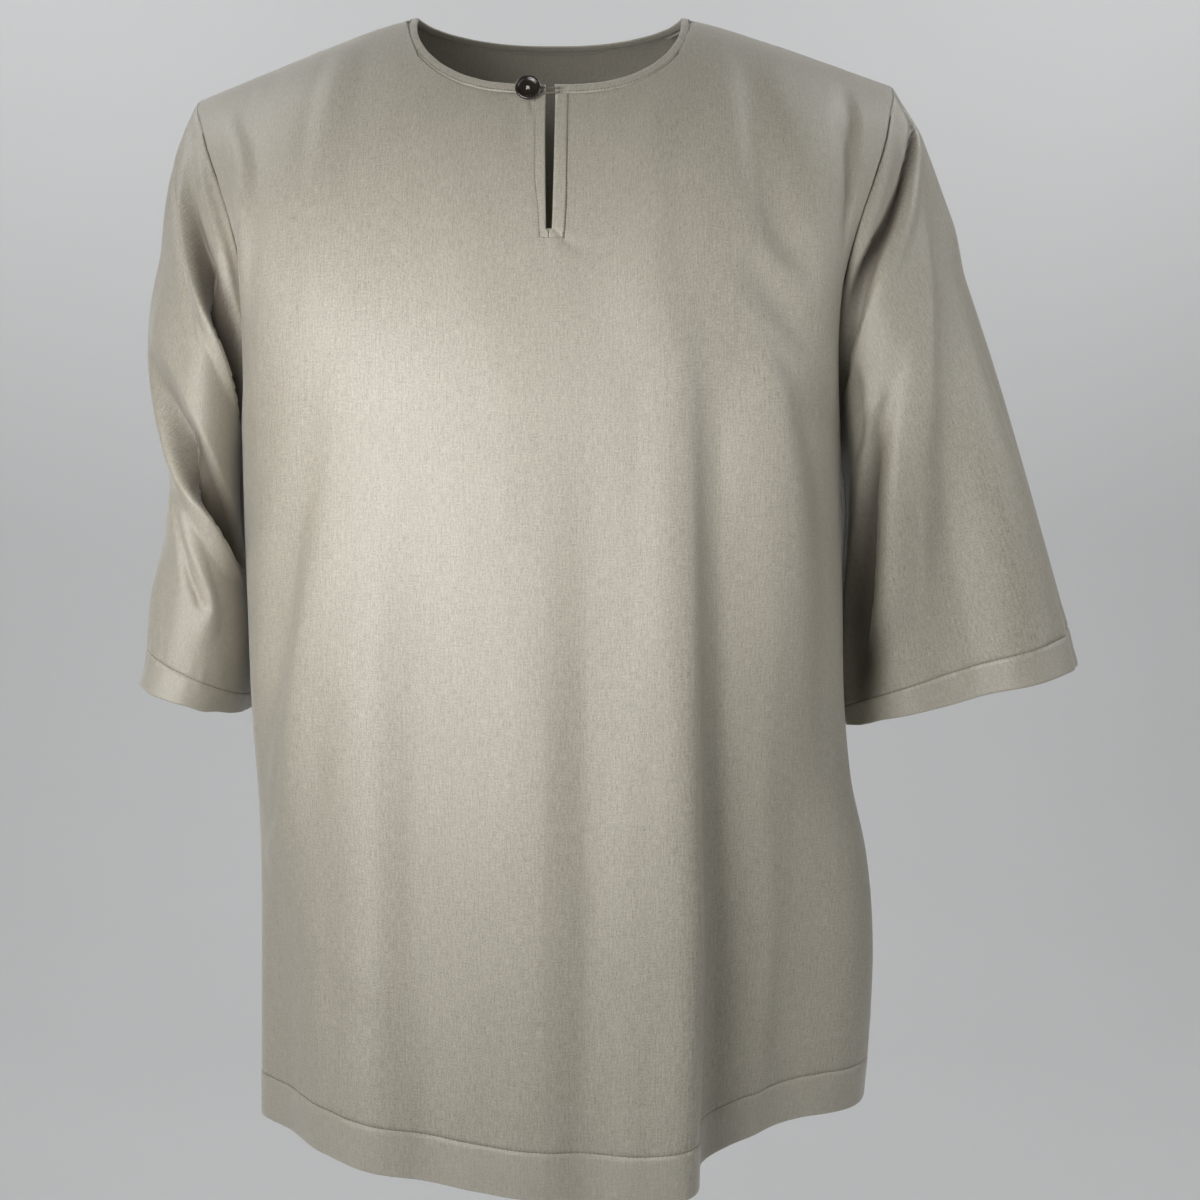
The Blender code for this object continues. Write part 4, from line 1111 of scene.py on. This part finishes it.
def sleeveRim(side, drops):
    halves = [armhole(side, face, drops) + cloth["outside"] * seamOut(side, face, drops)
              for face in (front, back)]
    return np.concatenate([halves[0], halves[1][-2:0:-1]]) + (side * cloth["seamGap"], 0.0, 0.0)


def rimOut(side, drops):
    start, end = sleeve["rimTurn"]
    aside = ease((drops - start) / (end - start))[:, None]
    halves = [blend(seamOut(side, face, drops), np.array([-side, 0.0, 0.0]), aside) for face in (front, back)]
    return unit(np.concatenate([halves[0], halves[1][-2:0:-1]]))


def sleeveForm(side, drops, alongs):
    sizes = sleeve[side]
    rim = sleeveRim(side, drops)
    run = runOf(np.concatenate([rim, rim[:1]]))
    places = np.interp(run[:-1], (0, run[len(drops) - 1], run[-1]), (0, 0.5, 1))
    topEnd, underEnd = (np.array([sizes[name][0], 0.0, sizes[name][1]]) for name in ("outer", "inner"))
    turn = places * 2 * pi
    wide = np.sign(np.cos(turn)) * np.abs(np.cos(turn)) ** (2 / sizes["roundness"])
    inner, outer = sizes["depthPowers"]
    deep = np.sign(np.sin(turn)) * (1 - np.abs(wide) ** inner) ** outer
    hem = (topEnd + underEnd) / 2 + wide[:, None] * (topEnd - underEnd) / 2
    hem[:, 1] += sizes["middleY"] - deep * sizes["halfDepth"]
    axis = unit(np.array([(topEnd - underEnd)[2] * side, 0.0, -abs((topEnd - underEnd)[0])]))
    lengths = np.linalg.norm(hem - rim, axis=1, keepdims=True)
    lean = blend(sizes["topLean"], sizes["underLean"], (1 - np.cos(turn)) / 2)
    leave = unit(np.stack([side * lean, -sizes["bulge"] * np.sin(turn), -np.ones_like(lean)], axis=-1))
    grid = curved(rim, hem, lengths * leave, lengths * axis, alongs[:, None, None])
    like = grid - grid.mean(axis=1, keepdims=True)
    centre = grid - like
    around = np.where(places > 0.5, places - 1, places) * sleeve["girth"]
    flatX, flatY = np.meshgrid(around, alongs * sleeve["length"])
    besideUnder = (0.5 - np.abs(around / sleeve["girth"])) / sleeve["underQuiet"]
    quiet = ease(alongs / sleeve["rimQuiet"])[:, None] * ease(besideUnder)
    folded = foldHeights(flatX, flatY, sleeveFolds[side]) * quiet
    grid = pushed(grid, outward(grid, like, closed=True), folded)
    normals = outward(grid, grid - centre, closed=True)
    heights = {crease: creaseHeights(flatX, flatY, run) for crease, run in sleeveCreases[side].items()}
    # painted shade in the deep of these folds, stronger towards the body where shade falls between sleeve and
    # body
    dark = [np.clip(-heights[crease] / depth, 0, 1) for crease, depth in sizes["paintedShadeFolds"].items()]
    paintedShadeGrowth = ease((sizes["paintedShadeStart"] - np.abs(grid[..., 0])) / sleeve["paintedShadeFade"])
    shade = np.max(dark, axis=0) * blend(sleeve["paintedShadeLeast"], 1, paintedShadeGrowth)
    fine = ripple(flatX, flatY, 51 + side, "sleeve") + ripple(flatX, flatY, 61 + side, "sleeveFine")
    fine = sum(heights.values()) + fine * quiet
    fine = fine * ease(alongs / body["fineQuiet"])[:, None] * ease(besideUnder * 2)
    grid = pushed(grid, normals, fine)
    normals = outward(grid, grid - centre, closed=True)
    normals[0] = rimOut(side, drops)
    wave = np.sin(around * 120 + 1 + side) + 0.5 * np.sin(around * 190 + 2)
    grid[..., 2] += sleeve["hemWave"] * wave * ease((alongs - 0.94) / 0.06)[:, None]
    return grid, normals, flatX, flatY, shade


def makeSleeve(name, side):
    cuffStart = 1 - sleeve["hemDepth"] / sleeve["length"]
    alongs = np.concatenate([
        [0.0, 0.002, 0.005, 0.009], np.linspace(0.014, cuffStart - 0.008, sleeve["rows"]),
        cuffStart + np.array([-0.0045, -0.002, 0.0, 0.002, 0.0045]),
        np.linspace(cuffStart + 0.009, 0.994, 8), [0.9975, 0.9990, 1.0]])
    grid, normals, flatX, fromRim, shade = sleeveForm(side, dropShare(np.linspace(0, 1, 84)), alongs)
    fromHem = sleeve["length"] - fromRim
    hemOff, dip, turned, pressedSheenAndShade = hemRelief(flatX, fromHem, sleeve["hemDepth"])
    dip = dip + cloth["rollDepth"] * 0.9 * bell(fromRim, cloth["rollWidth"] * 0.6)
    dip = dip + pucker(flatX, hemOff - 0.002, 71 + side, "sleeveHem")
    dip = dip + pucker(flatX, fromRim, 81 + side, "sleeveRim") * ease(fromRim / 0.002)
    fromSeam = sleeve["girth"] / 2 - np.abs(flatX)
    dip = dip + sewn["underDip"] * bell(fromSeam, sewn["underWidth"]) * ease(fromRim / 0.004)
    outer, inner = wallFaces(grid, normals, 0, dip, turned, fromHem)
    # painted shade in the fold valleys and along the armhole seam
    pressedSheenAndShade = pressedSheenAndShade + paintedSheenAndShade["fold"] * np.maximum(shade, bell(fromRim, sewn["seamWidth"]))
    place = np.stack([flatX, fromRim], axis=-1)
    made = clothWall(name, outer, inner, place, pressedSheenAndShade, suiting, closed=True, flip=side == left)
    row = int(np.argmin(np.abs(alongs - cuffStart)))
    line, outs = (np.concatenate([held[row], held[row][:1]]) for held in (outer, normals))
    return made, stitchRow(line, outs, "hem")


sleeveRight, rightStitches = makeSleeve("sleeveRight", right)
sleeveLeft, leftStitches = makeSleeve("sleeveLeft", left)
addPiece(sleeveRight, "sleeve_right")
addPiece(sleeveLeft, "sleeve_left")
sleeveStitches = addPiece(newObject("sleeveHemStitches", *joined([rightStitches, leftStitches]), hemThread))
print("sleeves made", len(sleeveRight.data.polygons), len(sleeveLeft.data.polygons))


band = {
    "wall": 0.0024,
    "sink": 0.0003,
    "stitchLine": 0.14,      # share of the way from the sewn edge to the fold
    "swells": ((0.00012, 0.019, 0.0), (0.00008, 0.0071, 1.0)),    # height, pitch and start
    # the band is pressed: smoother, and painted lighter as a sheen
    "pressedSheenAndShade": 0.35,
    "profile": rows(         # along from the sewn edge to the fold, height from the inside to the face
        "along height",
        (0.00, 0.45), (0.03, 0.86), (0.10, 0.95), (0.22, 0.86), (0.40, 1.06), (0.65, 1.12), (0.85, 0.98),
        (0.97, 0.72), (1.01, 0.45), (0.97, 0.16), (0.80, 0.02), (0.40, 0.00), (0.05, 0.00),
    ),
}


def bandSweep():
    turn = np.linspace(0, pi / 2, 70)[:-1]
    frontHalf, backHalf = (neckHalf * np.cos(turn) ** (2 / neck["roundness"][face])
                           for face in (front, back))
    frontHalf = np.concatenate([frontHalf, np.linspace(0, frontHalf[-1], 8)[1:-1][::-1]])
    start, end = slitEdge[left], slitEdge[right]
    sweep = [(front, x) for x in (start, *frontHalf[frontHalf > start + 0.001][::-1])]
    sweep += [(back, x) for x in (*backHalf[1:], 0.0, *-backHalf[1:][::-1])]
    return sweep + [(front, x) for x in (*-frontHalf[frontHalf > 0.0015], end)]


def makeBand():
    # a folded strip round the neck: sewn edge, swollen face, rounded fold at the top and a plain inside
    seam, edge, out = [], [], []
    for face, x in bandSweep():
        spot = np.array([x])
        seam.append(neckPoint(face, spot, neck["seam"])[0])
        edge.append(neckPoint(face, spot * neck["edge"]["half"] / neckHalf, neck["edge"])[0])
        out.append(neckOut(face, spot)[0])
    seam, edge, out = np.array(seam), np.array(edge), np.array(out)
    seam = seam + unit(edge - seam) * cloth["seamGap"]
    run = runOf(seam)[:, None]
    full = band["wall"] - band["sink"]
    swell = sum(amount * np.sin(run * 2 * pi / pitch + start) for amount, pitch, start in band["swells"])
    along, height = band["profile"]["along"], band["profile"]["height"]
    raised = height * (full + swell) - band["sink"]
    bandRings = blend(seam[:, None], edge[:, None], along[:, None]) + out[:, None] * raised[..., None]
    made = newObject("neckBand", bandRings.reshape(-1, 3), tubeFaces(*raised.shape, flip=True), suitingBand)
    place = np.stack([run + 0 * raised, along * 0.0065 + height * 0.002 + 0 * raised], axis=-1).reshape(-1, 2)
    addPlace(made, place @ np.array([[0.7, 0.7], [-0.7, 0.7]]), np.full(raised.size, band["pressedSheenAndShade"]))
    top = np.interp(band["stitchLine"], along[:8], height[:8]) * full - band["sink"]
    return made, stitchRow(blend(seam, edge, band["stitchLine"]) + out * top, out, "band")


neckBand, bandStitches = makeBand()
addPiece(neckBand, "neck_binding")
neckStitches = addPiece(newObject("neckStitches", *bandStitches, hemThread))
print("neck band made")


strip = {
    "lift": 0.0003,
    "wall": 0.0010,
    "tail": 0.0058,           # how far the strips run on below the slit
    "columns": 9,
    "slant": {right: (0.0026, 0.62, 0.38), left: (0.0010, 0.8, 0.3)},    # amount, start and length
    "stitchPlace": 0.09,
    "foldIn": 0.0007,         # how far the edge at the slit rolls in
    "waves": ((0.00007, 260, 2.0), (0.00005, 611, 0.0)),    # height, turns down and turns across
}


def stripPoints(panel, x, level):
    # points of the front panel's outer face and their directions, between the grid's lines
    row = int(np.clip(np.searchsorted(panel["levels"], level) - 1, 0, len(panel["levels"]) - 2))
    share = (level - panel["levels"][row]) / (panel["levels"][row + 1] - panel["levels"][row])
    found = []
    for grid in (panel["outer"], panel["normals"]):
        line = blend(grid[row], grid[row + 1], share)
        found.append(np.stack([np.interp(x, panel["xTop"], line[:, axis]) for axis in range(3)], axis=-1))
    return found[0], unit(found[1])


def makeStrip(name, side, panel):
    endLevel, width = slit["endLevel"], slit["strip"][side]
    tailLevel = endLevel - strip["tail"] / body["underarm"] * 1.35
    levels = np.concatenate([np.linspace(0.004, endLevel, 70), np.linspace(endLevel + 0.002, tailLevel, 9)])
    share = np.linspace(0, 1, strip["columns"] + 1)
    outer, inner, line, outs = [], [], [], []
    for level in levels:
        tail = ease((level - endLevel) / (tailLevel - endLevel))
        amount, start, length = strip["slant"][side]
        farX = slitEdge[side] + side * (width - amount * ease((level / endLevel - start) / length))
        nearX = slitEdge[side] + (slit["middle"] - slitEdge[side]) * 0.86 * min(1, tail * 3.5)
        point, out = stripPoints(panel, blend(farX, nearX, share), level)
        rise = ease(share / 0.10) * (0.80 + 0.25 * share) * (1 - 0.35 * tail)
        fold = np.clip((share - 0.93) / 0.07, 0, 1) ** 2 * (1 - min(1, tail * 3))
        height = strip["lift"] + (strip["wall"] - 0.00015) * rise - fold * strip["foldIn"]
        for amount, down, across in strip["waves"]:
            height += amount * np.sin(level * down + share * across)
        outer.append(pushed(point, out, height))
        inner.append(pushed(point, out, np.minimum(strip["lift"] * 0.3, height - 0.0001)))
        point, out = stripPoints(panel, blend(farX, nearX, strip["stitchPlace"]), level)
        line.append(point + out * (strip["lift"] + strip["wall"] * 0.55))
        outs.append(out)
    place = np.stack(np.meshgrid(side * 0.2 + share * width, levels * 0.27), axis=-1)
    # painted highlight along the folded edge at the slit and painted shade along the outer edge; pressed
    # elsewhere, with painted sheen
    pressedSheenAndShade = 0.2 + 0.8 * share ** 6 - (1 - share) ** 12 + 0 * levels[:, None]
    made = clothWall(name, np.array(outer), np.array(inner), place, pressedSheenAndShade, suitingBand, flip=side == left)
    bottom = outer[-1][:7] + outs[-1] * 0.0002
    stitches = [stitchRow(np.array(line), np.array(outs), "strip"),
                stitchRow(bottom, np.tile(outs[-1], (7, 1)), "stripEnd")]
    return made, stitches


stripRight, stripRightStitches = makeStrip("slitStripRight", right, frontGrid)
stripLeft, stripLeftStitches = makeStrip("slitStripLeft", left, frontGrid)
addPiece(stripRight, "slit_facing")
addPiece(stripLeft)
slitStitches = addPiece(newObject("slitStitches", *joined(stripRightStitches + stripLeftStitches), hemThread))
print("slit strips made")


button = {
    "x": -0.0112,
    "tilt": 0.20,
    "stand": 0.0042,
    "sides": 72,
    "holes": 4,
    "holeOut": 0.00125,
    "holeRadius": 0.00055,
    "dark": (0.010, 0.008, 0.007, 1.0),
    "light": (0.040, 0.028, 0.021, 1.0),
    "grain": (260.0, 260.0, 900.0),
    "cloud": 340.0,
    "roughness": 0.16,
    "coat": 0.25,
    "drill": 0.012,
    "profile": rows(
        "radius height",
        (0.0008, -0.0002), (0.0058, -0.0001), (0.0071, 0.0004), (0.0078, 0.0011), (0.0080, 0.0018),
        (0.00785, 0.0023), (0.0075, 0.0027), (0.0070, 0.00292), (0.0065, 0.00285), (0.0061, 0.0026),
        (0.0057, 0.0022), (0.0050, 0.0019), (0.0040, 0.00172), (0.0028, 0.00165), (0.0010, 0.00162),
    ),
}


def buttonFrame():
    spot = np.array([button["x"]])
    base = neckPoint(front, spot, neck["seam"])[0] + neckOut(front, spot)[0] * (band["wall"] - band["sink"])
    out = np.array([0.0, -np.cos(button["tilt"]), np.sin(button["tilt"])])
    up = np.array([0.0, np.sin(button["tilt"]), np.cos(button["tilt"])])
    return base + out * button["stand"], out, up, np.cross(up, out)


def buttonFinish():
    made, tree = newFinish("darkButton", {"Specular IOR Level": 0.6, "Coat Roughness": 0.08})
    place = make(tree, "ShaderNodeTexCoord", {}, {}, 3)
    grain = noise(tree, place, button["grain"], 4.0, 0.6)
    cloud = noise(tree, place, button["cloud"], 2.0)
    share = (grain * 0.7 + cloud * 0.4 - 0.1).clipped()
    return feed(made, {"Base Color": mixColour(tree, share, button["dark"], button["light"]),
                       "Roughness": button["roughness"] + grain * 0.16,
                       "Coat Weight": (button["coat"] + cloud * 0.4).clipped()})


def makeButton():
    centre, out, up, aside = buttonFrame()
    sides, count = button["sides"], len(button["profile"]["radius"])
    heights = button["profile"]["height"]
    spokes = circled(np.arange(sides) * 2 * pi / sides, aside, up)
    points = [centre + out * heights[0]]
    for radius, height in zip(button["profile"]["radius"], heights):
        points += list(centre + out * height + spokes * radius)
    points.append(centre + out * heights[-1])
    faces = []
    for step in range(sides):
        after = (step + 1) % sides
        faces.append((0, 1 + after, 1 + step))
        for low in range(1, 1 + (count - 1) * sides, sides):
            faces.append((low + step, low + after, low + sides + after, low + sides + step))
        high = 1 + (count - 1) * sides
        faces.append((high + step, high + after, 1 + count * sides))
    made = newObject("button", points, faces, buttonFinish())
    for hole in range(button["holes"]):
        spot = centre + circled(pi / 4 + hole * 2 * pi / button["holes"], aside, up) * button["holeOut"]
        bpy.ops.mesh.primitive_cylinder_add(vertices=16, radius=button["holeRadius"], depth=button["drill"],
                                            location=spot)
        drill = bpy.context.object
        drill.rotation_euler = Vector(out).to_track_quat("Z", "Y").to_euler()
        cut = made.modifiers.new("hole", "BOOLEAN")
        cut.operation = "DIFFERENCE"
        cut.solver = "EXACT"
        cut.object = drill
        bpy.context.view_layer.objects.active = made
        bpy.ops.object.modifier_apply(modifier=cut.name)
        bpy.data.objects.remove(drill, do_unlink=True)
    made.data.shade_smooth()
    made.data.set_sharp_from_angle(angle=0.7)
    return made


shank = {
    "lifts": (0.00205, 0.00235),    # how high each of the two crossed turns passes over the button
    "apart": 0.00022,
    "radius": 0.00024,
    "coil": (0.0013, 0.0032, 5),    # radius, length and turns
    "coilRadius": 0.00034,
}


def makeButtonThread():
    # two crossed turns over the holes, and a wound shank behind
    centre, out, up, aside = buttonFrame()
    share = np.linspace(0, 1, 9)[:, None]
    turns = []
    for start, lift in zip((pi / 4, pi * 3 / 4), shank["lifts"]):
        one, two = (circled(angle, aside, up) * button["holeOut"] for angle in (start, start + pi))
        height = blend(0.0004, lift, np.clip(np.sin(share * pi) * 2.4, 0, 1))
        for shift in (-shank["apart"], shank["apart"]):
            route = centre + blend(one, two, share) + unit(np.cross(out, two - one)) * shift + out * height
            turns.append(sweptTube(route, shank["radius"], 8, np.tile(out, (9, 1))))
    radius, length, count = shank["coil"]
    turn = np.linspace(0, count * 2 * pi, 80)
    coil = centre + circled(turn, aside, up) * radius - out * (0.0003 + turn[:, None] / turn[-1] * length)
    turns.append(sweptTube(coil, shank["coilRadius"], 6, unit(coil - centre)))
    return newObject("buttonThread", *joined(turns), threadFinish("buttonThread", "white", "whiteShade"))


loop = {
    "radius": 0.0006,
    "bend": 0.0028,
    "sag": 0.0006,
    "hold": 0.0030,
    "strands": 3,
    "strandOut": 0.00028,
    "strandRadius": 0.00034,
    "twist": 0.0032,
    "legs": rows("fromEnd upper lower", (0.0, 0.0020, -0.0021), (0.0040, 0.0020, -0.0024),
                 (0.0137, 0.0021, -0.0031)),
}


def makeLoop():
    legs = loop["legs"]
    turn = np.linspace(-pi / 2, pi / 2, 17)
    legX = slitEdge[left] + loop["hold"] - legs["fromEnd"]
    x = np.concatenate([legX, button["x"] - loop["bend"] * np.cos(turn), legX[::-1]])
    rise = np.concatenate([legs["upper"], -loop["bend"] * np.sin(turn) - loop["sag"], legs["lower"][::-1]])
    fine = np.linspace(0, len(x) - 1, 150)
    x, rise = (smoothAt(np.arange(len(x), dtype=float), values, fine) for values in (x, rise))
    out = neckOut(front, x)
    up = -unit(np.cross(np.array([1.0, 0.0, 0.0]), out))
    height = cloth["outside"] + cloth["seamGap"] * 2 + strip["wall"] + loop["radius"]
    route = neckPoint(front, x, neck["seam"]) + out * height + up * rise[:, None]
    aside, over = besideLine(route, out)
    strands = []
    for strand in range(loop["strands"]):      # laid round each other
        angle = runOf(route) * 2 * pi / loop["twist"] + strand * 2 * pi / loop["strands"]
        line = route + circled(angle, aside, over) * loop["strandOut"]
        strands.append(sweptTube(line, loop["strandRadius"], 7, out))
    return newObject("buttonLoop", *joined(strands), threadFinish("loopThread", "light", "dark"))


addPiece(makeButton(), "button")
addPiece(makeButtonThread())
addPiece(makeLoop(), "button_loop")
print("button and loop made")


studio = {
    "floor": -1.05,
    "near": -6.0,
    "wall": 2.3,
    "sweep": 0.8,
    "wide": 12.0,
    "height": 5.0,
    "paper": (0.74, 0.745, 0.75, 1.0),
    "mottle": 0.95,
    "air": 0.02,
    "airColour": (0.95, 0.97, 1.0, 1.0),
    "aim": (0.03, 0.0, -0.35),
    "lights": {       # distance, turn from the front, height, size, spread, power; angles in degrees
        "keyLight": (0.65, -24, 5, 0.45, 135, 1.02),
        "aboveKeyLight": (0.65, -24, 16, 0.45, 135, 0.52),
        "leftLight": (1.5, -38, 5, 0.9, 180, 6.6),
        "rightLight": (0.65, 42, 14, 0.45, 135, 0.20),
        "farLight": (1.5, 75, 18, 0.9, 180, 5.0),
    },
    "backdropLights": {"backdropLeft": (-1.4, 0.7, 1.3), "backdropRight": (1.4, 0.7, 1.3)},
    "backdropCut": (1.2, 180, 22),     # size, spread and power
    "camera": (0.033, -1.2, -0.380),
    "sensor": 36.0,
    "lens": 54.72,
}


def makeFloor():
    turn = np.linspace(0, pi / 2, 24)
    curveY = studio["wall"] - studio["sweep"] + studio["sweep"] * np.sin(turn)
    y = np.concatenate([[studio["near"]], curveY, [studio["wall"]]])
    rise = studio["sweep"] - studio["sweep"] * np.cos(turn)
    z = np.concatenate([[0.0], rise, [studio["height"]]]) + studio["floor"]
    points = [(side * studio["wide"] / 2, a, b) for a, b in zip(y, z) for side in (-1, 1)]
    faces = [(2 * row, 2 * row + 1, 2 * row + 3, 2 * row + 2) for row in range(len(y) - 1)]
    finish, tree = newFinish("studioPaper", {"Specular IOR Level": 0.15, "Roughness": 0.9})
    mottle = noise(tree, make(tree, "ShaderNodeTexCoord", {}, {}, 3), 1.5, 3.0)
    shade = tuple(channel * studio["mottle"] for channel in studio["paper"][:3]) + (1.0,)
    feed(finish, {"Base Color": mixColour(tree, mottle, shade, studio["paper"])})
    made = newObject("studioFloor", points, faces, finish)


def addLight(name, place, aim, size, spread, power):
    lamp = bpy.data.lights.new(name, "AREA")
    lamp.shape = "DISK"
    lamp.size = size
    lamp.spread = np.radians(spread)
    lamp.energy = power
    held = bpy.data.objects.new(name, lamp)
    bpy.context.scene.collection.objects.link(held)
    held.location = place
    held.rotation_euler = (Vector(aim) - Vector(place)).to_track_quat("-Z", "Y").to_euler()
    held.visible_camera = False


makeFloor()
for name, (distance, turn, rise, *cut) in studio["lights"].items():
    turn, rise = np.radians(turn), np.radians(rise)
    away = distance * np.array([np.sin(turn) * np.cos(rise), -np.cos(turn) * np.cos(rise), np.sin(rise)])
    addLight(name, away + studio["aim"], studio["aim"], *cut)
for name, place in studio["backdropLights"].items():
    addLight(name, place, (place[0] * 0.2, studio["wall"], -0.4), *studio["backdropCut"])

world = bpy.data.worlds.new("studioAir")
bpy.context.scene.world = world
world.use_nodes = True
world.node_tree.nodes["Background"].inputs["Color"].default_value = studio["airColour"]
world.node_tree.nodes["Background"].inputs["Strength"].default_value = studio["air"]
bpy.context.scene.view_settings.view_transform = "Standard"

lens = bpy.data.cameras.new("camera")
lens.sensor_width = studio["sensor"]
lens.lens = studio["lens"]
camera = bpy.data.objects.new("camera", lens)
camera.location = studio["camera"]
camera.rotation_euler = (pi / 2, 0.0, 0.0)
bpy.context.scene.collection.objects.link(camera)
bpy.context.scene.camera = camera
print("studio made")
